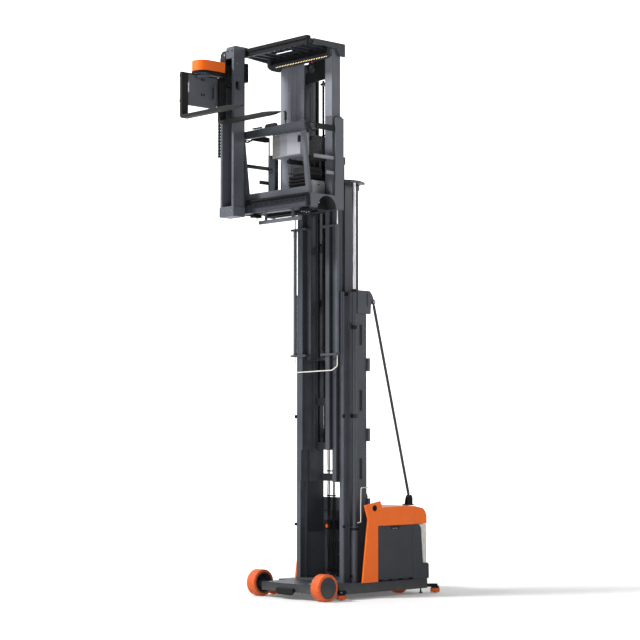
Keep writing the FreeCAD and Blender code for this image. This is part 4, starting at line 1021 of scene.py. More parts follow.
# --------------------------------------------------------------------------------------------
# Mast
# --------------------------------------------------------------------------------------------
@dataclass(frozen=True)
class Mast:
    """The fixed mast and its three sections, with their chains, hoses, pulleys and pads.

    Attributes:
        bolt: The width across the corners of the ties' bolt heads.
        pitch: The spacing of the chains' pins.
        hose: The radius of the hydraulic hoses.
        stay_half: The stays' place to each side of the truck's middle.
        stay_top: The place of a stay's upper pin, along the truck and over the floor.
        stay_foot: The place of its lower pin.
    """

    bolt: float = 30.0
    pitch: float = 25.4
    hose: float = 9.0
    stay_half: float = 473.5
    stay_top: tuple[float, float] = (-1180.0, 4270.0)
    stay_foot: tuple[float, float] = (-1925.0, 1400.0)

    def build(self) -> None:
        """Build the mast's small parts and finish its nodes."""
        self.dress()
        self.build_bolts()
        self.build_chains()
        self.build_hoses()
        self.build_heads()
        self.build_stays()

    def dress(self) -> None:
        """Give the mast's nodes their finishes."""
        # The fixed mast's paler coat is painted light: a lit copy of the rolled profiles' coat.
        dress(Look.ROLLED_PAINTED_LIT, "fixed_mast")
        dress(Look.ROLLED, "mast_stage_2", "mast_stage_3", "mast_stage_4")
        dress(Look.GRAPHITE, "mast_stays")
        dress(Look.PALE_COAT, "cylinder_line")

    def build_bolts(self) -> None:
        """Build the bolt heads on the fixed mast's rear ties and each section's top tie."""
        form = Form()
        for z in (1315, 2330, 3350, 4295):
            for y in (395, 450):
                for dz in (-55, 55):
                    form.bolt(Axis.X, (-1095, y, z + dz), -1, self.bolt, both=True)
        form.piece("mast_tie_bolts", Look.ZINC, "chassis")
        for number, rear, top, half in ((2, -992, 6015, 300), (3, -795, 6390, 230),
                                        (4, -740, 7700, 150)):
            form = Form()
            for y in (half / 3, half):
                form.bolt(Axis.X, (rear, y, top - 55), -1, 22.0, both=True)
            form.piece(f"section_bolts_{number}", Look.ZINC, f"mast_stage_{number}")

    def build_chains(self) -> None:
        """Build the leaf chains behind the moving sections, with their pulleys and yokes."""
        for side in Side:
            for body, word, x, low, pulley_x, y, z, r in (
                    ("mast_stage_2", "lift", -815, 2100, -877, 300, 5100, 68),
                    ("mast_stage_3", "inner", -592, 3450, -640, 60, 6240, 50)):
                y *= side.value
                chain_links(Form(), x, y, low, self.pitch, int((z - low) / self.pitch),
                            (8, 2, 13), self.pitch - 3).piece(
                    f"{word}_chain_{side.word}", Look.BLACKENED, body, smooth=20.0)
                Form().turned(Axis.Y, (pulley_x, y - 22, z), (
                    (0, 0), (r, 0), (r, 5), (r - 10, 8), (r - 10, 36), (r, 39), (r, 44),
                    (0, 44)), 48).turned(Axis.Y, (pulley_x, y - 30, z), (
                        (0, 0), (16, 0), (16, 60), (0, 60)), 24).piece(
                    f"{word}_pulley_{side.word}", Look.BLACKENED, body)
                yoke = Form()
                for offset in (-32, 26):
                    yoke.plate(Axis.Y, [(pulley_x + dx, z + dz) for dx, dz in (
                        (4 - r, 72), (-30, -30), (30, -30), (30, 72))], y + offset, y + offset + 6)
                yoke.piece(f"{word}_pulley_yoke_{side.word}", Look.GRAPHITE, body)

    def build_hoses(self) -> None:
        """Build the hoses that run up inside each section, clipped at both ends."""
        for body, name, x, low, high, offsets in (
                ("chassis", "foot_hose", -1021, 300, 2200, (-322, -290, -210, -178)),
                ("mast_stage_2", "second_hose", -900, 1800, 5850, (172, 196, 220)),
                ("mast_stage_3", "third_hose", -822, 2180, 6200, (-190, -166, -142)),
                ("mast_stage_4", "fourth_hose", -680, 3560, 7560, (-70, -48, 48, 70))):
            form, clips = Form(), Form()
            for k, y in enumerate(offsets):
                sway = 2 * math.sin(k * 2.1)
                form.tube([(x + sway * math.sin(i * 1.7), y + 3 * math.sin(i * 2.3 + k), z)
                           for i, z in enumerate(steps_between(low, high, 9))], self.hose)
            form.piece(f"{name}s", Look.RUBBER, body, smooth=60.0)
            for z in steps_between(low + 40, high - 40, 6):
                clips.block((x - 12, min(offsets) - 16, z - 10),
                            (x + 12, max(offsets) + 16, z + 10), 4.0)
            clips.piece(f"{name}_clips", Look.BLACK_ABS, body)

    def build_heads(self) -> None:
        """Build the slide pads at the sections' heads, and dark sheets behind the side slots as
        painted shade.
        """
        for body, y, front, top in (
                ("chassis", 455, -560, 4390), ("mast_stage_2", 370, -495, 6015),
                ("mast_stage_3", 285, -440, 6390), ("mast_stage_4", 200, -525, 7700)):
            Form().block((-682, y - 30, top - 60), (front - 14, y + 22, top - 0.4), 3.0,
                         True).piece(f"slide_pads_{body}", Look.BLACK_ABS, body)
        # Dark sheets behind the fixed mast's side slots: painted shade inside the mast.
        Form().block((-1040, 441, 900), (-700, 444, 4300), 0, True).piece(
            "slot_painted_shade_sheets", Look.GRAPHITE, "chassis")

    def build_stays(self) -> None:
        """Build the stays' round tubes, the lugs at their feet and the heads of their pins."""
        pins, tubes, lugs = Form(), Form(), Form()
        for x, z in (self.stay_top, self.stay_foot):
            pins.turned(Axis.Y, (x, self.stay_half + 22, z), (
                (0, 0), (19, 0), (19, 5), (16, 8), (0, 8)), 24, True)
        pins.piece("stay_pins", Look.ZINC, "chassis")
        for side in Side:
            y = side.value * self.stay_half
            top, foot = (Vector((x, y, z)) for x, z in (self.stay_top, self.stay_foot))
            run = (foot - top).normalized() * 62
            tubes.tube((top + run, foot - run), 21.0, 24, 1)
            for offset in (-36, 24):
                lugs.plate(Axis.Y, ((-1965, 1306), (-1965, 1400), (-1950, 1434), (-1925, 1446),
                                    (-1898, 1434), (-1880, 1400), (-1858, 1306)),
                           y + offset, y + offset + 12, 3.0)
        tubes.piece("stay_tubes", Look.GRAPHITE, "chassis", "black_steel")
        lugs.piece("stay_lugs", Look.BLACKENED, "chassis")


@dataclass(frozen=True)
class LiftCylinders:
    """The main cylinders beside the mast and the cab's two cylinders at its front.

    Attributes:
        main: The left main cylinder's place along and across the truck.
        rod: The radius of the main cylinders' rods.
        cab: The left cab cylinder's place along and across the truck.
        cab_barrel: The radius of the cab cylinders' barrels.
        cab_rod: The radius of their rods.
    """

    main: tuple[float, float] = (-713.0, 553.0)
    rod: float = 25.0
    cab: tuple[float, float] = (-475.0, 451.0)
    cab_barrel: float = 28.0
    cab_rod: float = 11.0

    def build(self) -> None:
        """Build the cylinders' barrels, rods and glands."""
        self.dress()
        self.build_cab_cylinders()
        self.build_main_cylinders()

    def dress(self) -> None:
        """Give the main cylinders' barrels their finish."""
        dress(Look.ROLLED, "lift_cylinders")

    def build_cab_cylinders(self) -> None:
        """Build the cab cylinders' painted barrels and chromed rods in place of their node."""
        node, r, thin = "cab_lift_cylinders", self.cab_barrel, self.cab_rod
        foot, top = Span.of(node).low.z, Span.of(node).high.z
        for name, look, sides, profile in (
                ("barrels", Look.GREY_TUBE, 40, (
                    (0, foot), (r, foot), (r, foot + 40), (r - 2, foot + 44), (r - 2, 5240),
                    (r, 5244), (r, 5357), (r - 3, 5360), (thin + 3, 5360), (thin + 3, 5366),
                    (thin, 5366))),
                ("rods", Look.CHROME, 28, (
                    (0, 5355), (thin, 5355), (thin, top - 2), (thin - 2, top), (0, top)))):
            Form().turned(Axis.Z, (*self.cab, 0), profile, sides, True).piece(
                f"cab_cylinder_{name}", look, "mast_stage_4", replaces=[node])

    def build_main_cylinders(self) -> None:
        """Build the chrome over the main rods, and the barrels' glands, clamps and ports."""
        x, y = self.main
        Form().turned(Axis.Z, (x, y, 0), (
            (self.rod + 0.1, 3200), (self.rod + 0.15, 3201), (self.rod + 0.15, 5978),
            (self.rod, 5979)), 40, True).piece("lift_rod_chrome", Look.CHROME, "mast_stage_2")
        form = Form().turned(Axis.Z, (x, y, 4390), (
            (34, 0), (38, 3), (38, 36), (34, 40), (27, 40), (27, 34)), 32, True)
        for z in (2570, 3850):
            form.turned(Axis.Z, (x, y, z), ((34.2, 0), (42, 2), (42, 56), (34.2, 58)), 32, True)
        form.turned(Axis.Z, (x, y, 0), ((52.3, 962), (60, 964), (60, 1000), (34.5, 1006)), 32, True)
        for rear, low, front, high in ((-735, 2576, -690, 2622), (-566, 2570, -528, 2622),
                                       (-566, 1000, -528, 1040)):
            form.block((rear, 496, low), (front, 522, high), 4.0, True)
        form.block((x - 22, y - 14, 300), (x + 66, y + 14, 330), 4, True)
        form.piece("cylinder_glands", Look.BLACKENED, "chassis")


# --------------------------------------------------------------------------------------------
# Operator cab
# --------------------------------------------------------------------------------------------
@dataclass(frozen=True)
class CabStructure:
    """The cab's floor, side plates, posts, rear wall and carriage.

    Attributes:
        floor: The height of the floor.
        screw: The radius of the side plates' screw heads.
        folds: The places across the truck of the rear wall's pressed folds.
        arch: The outer radius of the wheel arches' liners.
    """

    floor: float = 5640.0
    screw: float = 8.0
    folds: tuple[float, float] = (-330.0, -230.0)
    arch: float = 176.5

    def build(self) -> None:
        """Build the cab's small parts and finish its nodes."""
        self.dress()
        self.build_floor()
        self.build_sides()
        self.build_wall()
        self.build_under_floor()
        self.build_arches()
        self.build_locker()

    def dress(self) -> None:
        """Give the cab's nodes their finishes."""
        dress(Look.SLATE, "side_plates", "front_frame", "rear_post_left", "underrun_bar")
        dress(Look.GRAPHITE, "cab_floor", "cab_carriage")
        dress(Look.BLACK_ABS, "rear_header", "seat_pedestal")
        dress(Look.ANODISED, "rear_wall")

    def build_floor(self) -> None:
        """Build the ribbed rubber mat and the pedals on the floor."""
        floor = self.floor
        mat = Form().block((-280, -640, floor - 0.5), (290, 90, floor + 7), 3.0)
        for y in steps_between(-620, 70, 22):
            mat.block((-265, y - 6, floor + 6), (275, y + 6, floor + 9.5), 2.0)
        mat.piece("floor_mat", Look.RUBBER, "cab")
        pedals = Form()
        for y in (170, 300):
            pedals.plate(Axis.Y, ((190, 5646), (240, 5700), (250, 5694), (205, 5644)),
                         y - 40, y + 40, 2)
            for x, z in ((198, 5658.8), (208, 5669.6), (218, 5680.4), (228, 5691.2)):
                pedals.block((x, y - 34, z), (x + 8, y + 34, z + 6), 1.5)
        pedals.piece("pedals", Look.RUBBER, "cab")

    def build_sides(self) -> None:
        """Build the side plates' screw heads and caps, and the post's edge strip and seal."""
        r, form = self.screw, Form()
        for x, z in ((-190, 6693), (-236, 6393), (-190, 6245), (-190, 5790), (-300, 6560),
                     (-300, 5900), (150, 5600), (270, 5600), (270, 5690)):
            form.turned(Axis.Y, (x, 737.5, z), (
                (r, 0), (r, 2), (r - 1.5, 2.4), (4, 2.4), (3.4, 0.5), (0, 0.5)), 24, True)
        form.piece("side_screws", Look.ZINC, "cab")
        Form().block((-300, 708, 6846), (-190, 737, 6872), 3.0, True).piece(
            "side_plate_caps", Look.GRAPHITE, "cab")
        Form().block((-141, 560, 6880), (-137, 696, 7735), 1.2).piece(
            "post_edge_strip", Look.ANODISED, "cab")
        Form().tube([(-296, 545, z) for z in (5660, 6600, 7440)], 7, 10, 2).piece(
            "post_seal", Look.RUBBER, "cab")

    def build_wall(self) -> None:
        """Build the rear wall's pressed folds, its return, its grab rail and its screws."""
        face = Span.of("rear_wall").high.x
        folds, screws = Form(), Form()
        for y in self.folds:
            folds.plate(Axis.Z, ((face - 1, y - 12), (face + 6, y - 4), (face + 6, y + 4),
                                 (face - 1, y + 12)), 5660, 7880, 1.5)
        folds.piece("wall_folds", Look.ANODISED, "cab")
        Form().block((-329, -50, 6000), (-300, 36, 7440), 3.0).piece(
            "wall_return", Look.GRAPHITE, "cab")
        Form().tube([(face + dx, -120, z) for dx, z in (
            (-2, 6480), (45, 6500), (52, 6620), (45, 6740), (-2, 6760))], 10, 14, 8).piece(
            "grab_rail", Look.BLACK_ABS, "cab")
        for z in steps_between(5760, 7760, 6):
            for y in (-375, -75):
                screws.disc(Axis.X, (face - 0.3, y, z), 8, 3, 1)
        screws.piece("wall_screws", Look.ZINC, "cab")

    def build_under_floor(self) -> None:
        """Build the frames that hang under the floor, and their bolts."""
        form, bolts = Form().block((150, 485, 5484), (300, 575, 5532), 4.0, True), Form()
        for x in (-60, 60):
            form.block((x - 12, -480, 5500), (x + 12, 480, 5541), 3.0)
        form.piece("under_floor_frames", Look.BLACKENED, "cab")
        for x in (180, 270):
            for y in (505, 555):
                bolts.bolt(Axis.Z, (x, y, 5484), -1, 16.0, both=True)
        bolts.piece("under_floor_bolts", Look.ZINC, "cab")

    def build_arches(self) -> None:
        """Build the black liners inside the two wheel arches."""
        turns = [math.pi * i / 24 for i in range(25)]
        rim, inner = ([(r * math.cos(a), 5530.5 + r * math.sin(a)) for a in turns]
                      for r in (self.arch, self.arch - 2))
        Form().plate(Axis.Y, rim, 553, 556, 0, True).plate(
            Axis.Y, rim + inner[::-1], 553, 737, 0, True).piece(
            "arch_liners", Look.BLACK_ABS, "cab")

    def build_locker(self) -> None:
        """Build the pale locker beside the seat, with dark strips in its slots as painted shade."""
        Form.copy_of("side_locker", 14.0, 25.0, 4).piece(
            "side_locker_box", Look.PALE_ABS, "cab", replaces=["side_locker"])
        # Dark strips on the locker's faces: painted shade in its slots.
        Form().block((-40, 538, 5880), (-4, 540.6, 5896), 0.8).block(
            (-150.6, 455, 5868), (-148, 520, 5884), 0.8).piece(
            "locker_slot_painted_shade", Look.BLACK_ABS, "cab")


@dataclass(frozen=True)
class Roof:
    """The overhead guard with its lamps, fans and light beam.

    Attributes:
        diodes: How many diodes the strip along the beam has.
        fan: The radius of the cooling fans.
        blades: How many blades each of them has.
    """

    diodes: int = 32
    fan: float = 52.0
    blades: int = 7

    def build(self) -> None:
        """Build the roof's lamps and small parts and finish its nodes."""
        self.dress()
        self.build_beam()
        self.build_lamps()
        self.build_fans()
        self.build_roof_parts()

    def dress(self) -> None:
        """Give the overhead guard its finish."""
        dress(Look.GRAPHITE, "overhead_guard")

    def build_beam(self) -> None:
        """Build the beam's folded cover, the screen in it and its row of warm diodes."""
        Form().plate(Axis.X, (
            (-660, 7905), (-660, 7770), (-610, 7725), (-440, 7662), (-405, 7662), (-372, 7710),
            (590, 7710), (650, 7725), (695, 7770), (695, 7905), (650, 7905), (620, 7786),
            (-590, 7786), (-615, 7905)), -140, -100, 2.0).piece(
            "light_beam_cover", Look.GRAPHITE, "cab", replaces=["light_beam"], smooth=20.0)
        Form().block((-137, -600, 7780), (-134, 630, 7903), 0).piece(
            "beam_screen", Look.BLACK_ABS, "cab")
        face, form = Span.of("light_beam").high.x, Form()
        Form().block((face - 1, -470, 7722), (face + 3, 640, 7750), 1.2).piece(
            "diode_strip", Look.BLACK_ABS, "cab")
        for y in steps_between(-455, 625, self.diodes):
            form.block((face + 2, y - 5.5, 7730), (face + 5.5, y + 5.5, 7743), 1.5)
        form.piece("warm_diodes", Look.WARM_DIODE, "cab")

    def build_lamps(self) -> None:
        """Build the cool lamp under the roof's front and the dark glass with five lamps."""
        Form().turned(Axis.Y, (120, -205, 7868), (
            (0, 0), (4, 1), (5, 4), (5, 331), (4, 334), (0, 335)), 20).piece(
            "roof_lamp", Look.COOL_DIODE, "cab")
        Form().block((100, -240, 7870), (140, 165, 7896), 5.0).piece(
            "roof_lamp_holder", Look.BLACK_ABS, "cab")
        Form().block((40, 652, 7862), (235, 706, 7882), 7.0).piece(
            "work_lamp", Look.DARK_GLASS, "cab")
        lamps = Form()
        for i in range(5):
            lamps.disc(Axis.Z, (70 + 34 * i, 680, 7863), 6.5, -3, 1.0)
        lamps.piece("work_lamp_diodes", Look.PALE_ABS, "cab")

    def build_fans(self) -> None:
        """Build the two fans on the rear header, with the lamp and the marker over them."""
        rings, blades = Form(), Form()
        face, lift = Span.of("rear_header").high.x, Vector((6, 0, 0))
        for y in (-50, 100):
            centre = Vector((face - 1, y, 7660))
            for radius in (self.fan, self.fan * 0.66, self.fan * 0.34):
                rings.turned(Axis.X, centre, ((radius - 4, 0), (radius - 4, 9), (radius, 11),
                                              (radius + 2, 9), (radius + 2, 0)), 40)
            for i in range(self.blades):
                angle = math.tau * i / self.blades
                way = Vector((0, math.cos(angle), math.sin(angle)))
                side = Vector((0, -way.z, way.y)) * 11
                a, b = centre + way * 12, centre + way * (self.fan - 6)
                blades.tube((a + side + lift, (a + b) / 2 + lift * 0.6, b - side + lift * 0.4),
                            4.5, 8, 4)
        # The fan guards in a paler slate than the black header: painted highlights on the rings.
        rings.piece("fan_guards", Look.SLATE, "cab")
        blades.piece("fan_blades", Look.BLACKENED, "cab", "black_plastic")
        Form().block((face - 1, -128, 7743), (face + 12, 28, 7757), 2.0).piece(
            "header_lamp", Look.COOL_DIODE, "cab")
        Form().disc(Axis.X, (face - 1, 101, 7762), 8, 12, 2.0).piece(
            "header_marker", Look.RED_DIODE, "cab")

    def build_roof_parts(self) -> None:
        """Build the guard's screws and its cable run."""
        screws = Form()
        for x in steps_between(-320, 330, 6):
            screws.disc(Axis.Z, (x, 690, 7929.5), 10, 4, 1.2, both=True)
        screws.piece("roof_screws", Look.ZINC, "cab")
        Form().tube(((-290, 520, 7870), (-200, 505, 7880), (-40, 512, 7884), (140, 500, 7878),
                     (200, 520, 7870)), 6, 10, 6).piece("roof_cable", Look.RUBBER, "cab")


@dataclass(frozen=True)
class Controls:
    """The front panel and the console with its screen, wheel and levers.

    Attributes:
        wheel: The radius of the small steering wheel.
        levers: How many fingertip levers stand on the console.
    """

    wheel: float = 70.0
    levers: int = 4

    def build(self) -> None:
        """Build the panel, the console and its controls."""
        self.build_panel()
        self.build_console()
        self.build_steering()
        self.build_column()

    def build_panel(self) -> None:
        """Build the front panel's rounded body, its latch, its raised box and its handle grip."""
        Form.copy_of("front_panel", 6.0, 30.0).piece(
            "front_panel_cover", Look.GRAPHITE, "cab", replaces=["front_panel"])
        Form().plate(Axis.Y, ((356, 6752), (398, 6752), (392, 6772), (362, 6772)),
                     -430, -240, 4).piece("panel_latch", Look.BLACK_ABS, "cab")
        Form().plate(Axis.X, ((-165, 6748), (110, 6748), (70, 6792), (-125, 6792)),
                     358, 396, 6).piece("panel_box", Look.BLACK_ABS, "cab")
        Form().turned(Axis.Z, (378, 280, 6800), (
            (0, 0), (17, 2), (20, 10), (18, 60), (20, 112), (16, 122), (0, 124))).piece(
            "panel_handle_grip", Look.BLACK_ABS, "cab")

    def build_console(self) -> None:
        """Build the pale console's rounded body, its facets (one in a painted shaded copy of the
        grey), screen, keys and black notch.
        """
        box = Span.of("console")
        x, y, low, high = box.high.x, box.high.y, box.low, box.high
        Form().plate(Axis.Z, (
            (low.x, low.y), (x - 34, low.y), (x - 2, 130), (x, 150), (x, 285), (x - 4, 310),
            (x - 26, y), (low.x, y)), low.z, high.z, 14.0).piece(
            "console_body", Look.GREY_ABS, "cab", replaces=["console"])
        # The right facet in a darker copy of the console's grey: painted shade.
        Form().plate(Axis.Z, ((x - 34, low.y + 10), (x - 4, 126), (x - 1, 124),
                              (x - 31, low.y + 8)), low.z + 18, high.z - 18, 0.6).piece(
            "console_facet", Look.ABS_PAINTED_SHADE, "cab")
        Form().plate(Axis.Z, (
            (x - 2, 288), (x + 0.6, 288), (x - 3.6, 312), (x - 25, y - 3), (x - 29, y - 3),
            (x - 8, 312)), low.z + 15, high.z - 15, 0.5).piece(
            "console_end", Look.PALE_ABS, "cab")
        Form().plate(Axis.Y, ((208, 6616), (312, 6616), (330, 6700), (318, 6704)),
                     60, 240, 4).piece("screen_housing", Look.BLACK_ABS, "cab")
        Form().block((x - 60, y - 46, 6465), (x - 8, y - 0.4, 6560), 9).piece(
            "console_notch", Look.BLACK_ABS, "cab")
        keys = Form()
        for rear in (212, 238):
            for right in range(330, 460, 26):
                keys.block((rear, right, 6618), (rear + 20, right + 20, 6624), 3.0)
        keys.piece("console_keys", Look.BLACK_ABS, "cab")

    def build_steering(self) -> None:
        """Build the small steering wheel with its spinner knob, and the fingertip levers."""
        r = self.wheel
        Form().turned(Axis.Z, (250, -10, 6618), (
            (0, 0), (34, 0), (30, 18), (r - 16, 22), (r - 4, 26), (r, 34), (r - 4, 42),
            (r - 16, 42), (r - 22, 34), (24, 30), (0, 32)), 40).turned(
            Axis.Z, (206, -10, 6656), (
                (0, 0), (8, 0), (8, 10), (16, 18), (18, 30), (12, 40), (0, 43))).piece(
            "steering_wheel", Look.BLACK_ABS, "cab")
        form = Form()
        for i in range(self.levers):
            form.turned(Axis.Z, (296, 280 + i * 34, 6617), (
                (0, 0), (13, 0), (13, 3), (5, 8), (4, 34), (9, 42), (10, 54), (6, 60), (0, 61)), 20)
        form.piece("lever_row", Look.BLACK_ABS, "cab")

    def build_column(self) -> None:
        """Build the dark column under the console and the rod beside it."""
        Form().block((170, -205, 5640), (250, -95, 6300), 12.0).block(
            (160, -215, 5640), (262, -85, 5662), 5.0).piece(
            "console_column", Look.GRAPHITE, "cab")
        Form().tube(((325, -600, 6250), (318, -400, 6205), (312, -200, 6160), (250, -150, 6150)),
                    10, 14, 4).piece("front_rod", Look.BLACKENED, "cab")


@dataclass(frozen=True)
class Pad:
    """A block of foam to be covered: its box, its lean and how round its corners are.

    Attributes:
        name: The piece's name.
        node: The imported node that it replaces.
        low: The lower corner in millimetres.
        high: The higher corner.
        lean: How far the top leans back, in degrees.
        thick: The axis across the pad's thickness.
        round_mm: The radius of its corners.
    """

    name: str
    node: str
    low: Point
    high: Point
    lean: float
    thick: Axis
    round_mm: float


@dataclass(frozen=True)
class Seat:
    """The operator's seat: two covered foam pads, their piping and two armrests.

    Attributes:
        gap: How far the pads stay inside their nodes.
        cell_mm: The size of the mesh cells that the cloth is worked out on.
        cap_mm: The furthest that the cover may swell.
        steps: How many steps the swelling takes.
        channel_mm: The depth of the sewn channels.
        channels: How many channels cross each pad.
    """

    gap: float = 14.0
    cell_mm: float = 8.0
    cap_mm: float = 16.0
    steps: int = 20
    channel_mm: float = 6.0
    channels: int = 4

    def build(self) -> None:
        """Build both pads and the parts round them."""
        cushion, back, gap = Span.of("seat_cushion"), Span.of("seat_back"), self.gap
        self.build_pad(Pad("seat_pad", "seat_cushion", cushion.low + Vector((gap, gap, 2)),
                           cushion.high - Vector((gap, gap, gap)), 0.0, Axis.Z, 80.0))
        self.build_pad(Pad("back_pad", "seat_back", (-236, back.low.y + gap, back.low.z + gap),
                           (-188, back.high.y - gap, back.high.z - 50), -3.5, Axis.X, 150.0))
        self.build_shells(cushion)

    def build_pad(self, pad: Pad) -> None:
        """Build one pad: a rounded block that the cloth simulation swells, then sewn channels.

        Args:
            pad: The pad's sizes.
        """
        flat = [i for i in range(3) if i != pad.thick.value]
        form = Form().plate(pad.thick, rounded_outline(
            [pad.low[i] for i in flat], [pad.high[i] for i in flat], pad.round_mm),
            pad.low[pad.thick.value], pad.high[pad.thick.value], 0)
        middle = (Vector(pad.low) + Vector(pad.high)) / 2
        tilt = Matrix.Rotation(math.radians(pad.lean), 4, "Y")
        form.mesh.transform(Matrix.Translation(middle) @ tilt @ Matrix.Translation(-middle))
        piece = form.piece(pad.name, Look.SEAT_CLOTH, "cab", replaces=[pad.node], smooth=80.0)
        remesh = piece.modifiers.new("cells", "REMESH")
        remesh.mode, remesh.voxel_size = "VOXEL", self.cell_mm * MM
        apply_modifiers(piece)
        self.swell(piece)
        self.sew(piece, pad, middle)
        smooth = piece.modifiers.new("smooth", "SUBSURF")
        smooth.levels = smooth.render_levels = 1
        apply_modifiers(piece)
        piece.data.materials.clear()
        piece.data.materials.append(Look.SEAT_CLOTH.value.make())
        piece.data.shade_smooth()

    def swell(self, piece: bpy.types.Object) -> None:
        """Swell the cover from inside as cloth, with each point's movement capped."""
        rest = [v.co.copy() for v in piece.data.vertices]
        cloth = piece.modifiers.new("cover", "CLOTH")
        cloth.settings.use_pressure = True
        cloth.settings.uniform_pressure_force = 4.0
        cloth.settings.effector_weights.gravity = 0.0
        cloth.settings.quality = 5
        scene = bpy.context.scene
        for step in range(1, self.steps + 1):
            scene.frame_set(step)
        apply_modifiers(piece)
        scene.frame_set(1)
        cap = self.cap_mm * MM
        for vertex, start in zip(piece.data.vertices, rest):
            move = vertex.co - start
            if move.length > cap:
                vertex.co = start + move * (cap / move.length)

    def sew(self, piece: bpy.types.Object, pad: Pad, middle: Vector) -> None:
        """Press the sewn channels and small wrinkles into the pad's open face.

        Args:
            piece: The pad.
            pad: Its sizes.
            middle: Its middle in millimetres.
        """
        lying = pad.thick is Axis.Z
        along = (Axis.X if lying else Axis.Z).value
        lines = steps_between(pad.low[along], pad.high[along], self.channels + 2)[1:-1]
        side_line = (pad.high[1] - pad.low[1]) * 0.34
        press = Vector((0, 0, -1)) if lying else Vector((-1, 0, 0))
        for vertex in piece.data.vertices:
            place = (vertex.co - AXLE) / MM
            if (place - middle)[pad.thick.value] < 4:
                continue
            across = abs(place.y - middle.y)
            depth = 0.8 * math.exp(-((across - side_line) / 7) ** 2)
            if across < side_line:
                nearest = min(abs(place[along] - line) for line in lines)
                depth = max(depth, math.exp(-(nearest / 7) ** 2))
            wrinkle = noise.noise(place / 70.0) * 1.2
            vertex.co += press * (depth * self.channel_mm + wrinkle) * MM

    def build_shells(self, cushion: Span) -> None:
        """Build the seat's bellows, its piping, the armrests and the joystick.

        Args:
            cushion: The box of the cushion's node.
        """
        bellows, rest = Form(), Form()
        for z in range(5690, 6026, 48):
            bellows.plate(Axis.Z, ((-185, 110), (170, 110), (170, 490), (-185, 490)),
                          z, z + 42, 16.0)
        bellows.piece("seat_bellows", Look.RUBBER, "cab")
        rear, right = cushion.low.x + 8, cushion.low.y + 8
        front, left, cut = cushion.high.x - 8, cushion.high.y - 8, 30
        Form().tube([(x, y, cushion.low.z + 30) for x, y in (
            (rear + cut, right), (front - cut, right), (front, right + cut), (front, left - cut),
            (front - cut, left), (rear + cut, left), (rear, left - cut), (rear, right + cut),
            (rear + cut, right))], 4.5, 8, 5).piece("seat_piping", Look.VINYL, "cab", smooth=60.0)
        for y in (22, 508):
            rest.plate(Axis.Y, ((-215, 6235), (90, 6225), (128, 6240), (130, 6275), (100, 6290),
                                (-215, 6296)), y, y + 68, 12.0)
            rest.block((-216, y + 12, 6060), (-178, y + 56, 6260), 8.0)
        rest.piece("armrests", Look.VINYL, "cab")
        Form().turned(Axis.Z, (96, 56, 6287), (
            (0, 0), (16, 0), (14, 8), (9, 20), (10, 46), (15, 62), (13, 80), (6, 90),
            (0, 92))).piece("joystick", Look.BLACK_ABS, "cab")


@dataclass(frozen=True)
class Gates:
    """The two side gates with their moulded grips and boards.

    Attributes:
        half: The gates' place to each side of the truck's middle.
        grip: Half the width of the moulded grip on the handrail.
    """

    half: float = 714.0
    grip: float = 14.0

    def build(self) -> None:
        """Build the gates' grips and boards, and finish their bars."""
        for side in Side:
            node, y, strip = f"side_gate_{side.word}", side.value * self.half, Form()
            dress(Look.SLATE, node)
            Form().plate(Axis.Y, (
                (-176, 6660), (-176, 6732), (-120, 6734), (150, 6734), (172, 6722), (150, 6668),
                (120, 6652), (-120, 6650)), y - self.grip, y + self.grip, 7.0).tube(
                [(x, y, z) for x, z in (
                    (140, 6718), (240, 6722), (325, 6722), (342, 6706), (305, 6655), (262, 6620),
                    (215, 6622), (140, 6668))], 12.5, 12, 5).piece(
                f"gate_grip_{side.word}", Look.BLACK_ABS, node)
            low, high = sorted((y + side.value * 4, y + side.value * 7))
            for front, z in ((230, 6265), (-10, 6050)):
                strip.block((-150, low, z - 22), (front, high, z + 22), 1.2)
            strip.piece(f"gate_boards_{side.word}", Look.GREY_ABS, node)


# --------------------------------------------------------------------------------------------
# Turret
# --------------------------------------------------------------------------------------------
@dataclass(frozen=True)
class TraverseRails:
    """The two toothed rails across the cab's front.

    Attributes:
        pitch: The spacing of the racks' teeth.
    """

    pitch: float = 25.0

    def build(self) -> None:
        """Build the racks and their screws, and finish the rails."""
        for node in ("upper_rail", "lower_rail"):
            dress(Look.BLACKENED, node)
            self.build_rack(node)

    def build_rack(self, node: str) -> None:
        """Build one rail's row of teeth, which the lower one also has on its top, and its screws.

        Args:
            node: The rail's node.
        """
        box, form, screws = Span.of(node), Form(), Form()
        middle, top = box.middle.z, box.high.z
        for i in range(int((box.high.y - box.low.y - 30) / self.pitch)):
            y = box.low.y + 20 + i * self.pitch
            if node == "lower_rail":
                form.plate(Axis.X, ((y, top - 1), (y + 15, top - 1), (y + 11, top + 3),
                                    (y + 4, top + 3)), 376, 400, 0)
            form.plate(Axis.Z, ((407.5, y), (416, y + 3), (416, y + 10), (407.5, y + 14)),
                       middle - 12, middle + 12, 0)
        form.piece(f"{node}_rack", Look.BLACKENED, "cab")
        for y in steps_between(box.low.y + 45, box.high.y - 45, 14):
            screws.disc(Axis.Z, (395, y, box.low.z + 0.5), 8, -3, 1.0)
        screws.piece(f"{node}_screws", Look.ZINC, "cab")


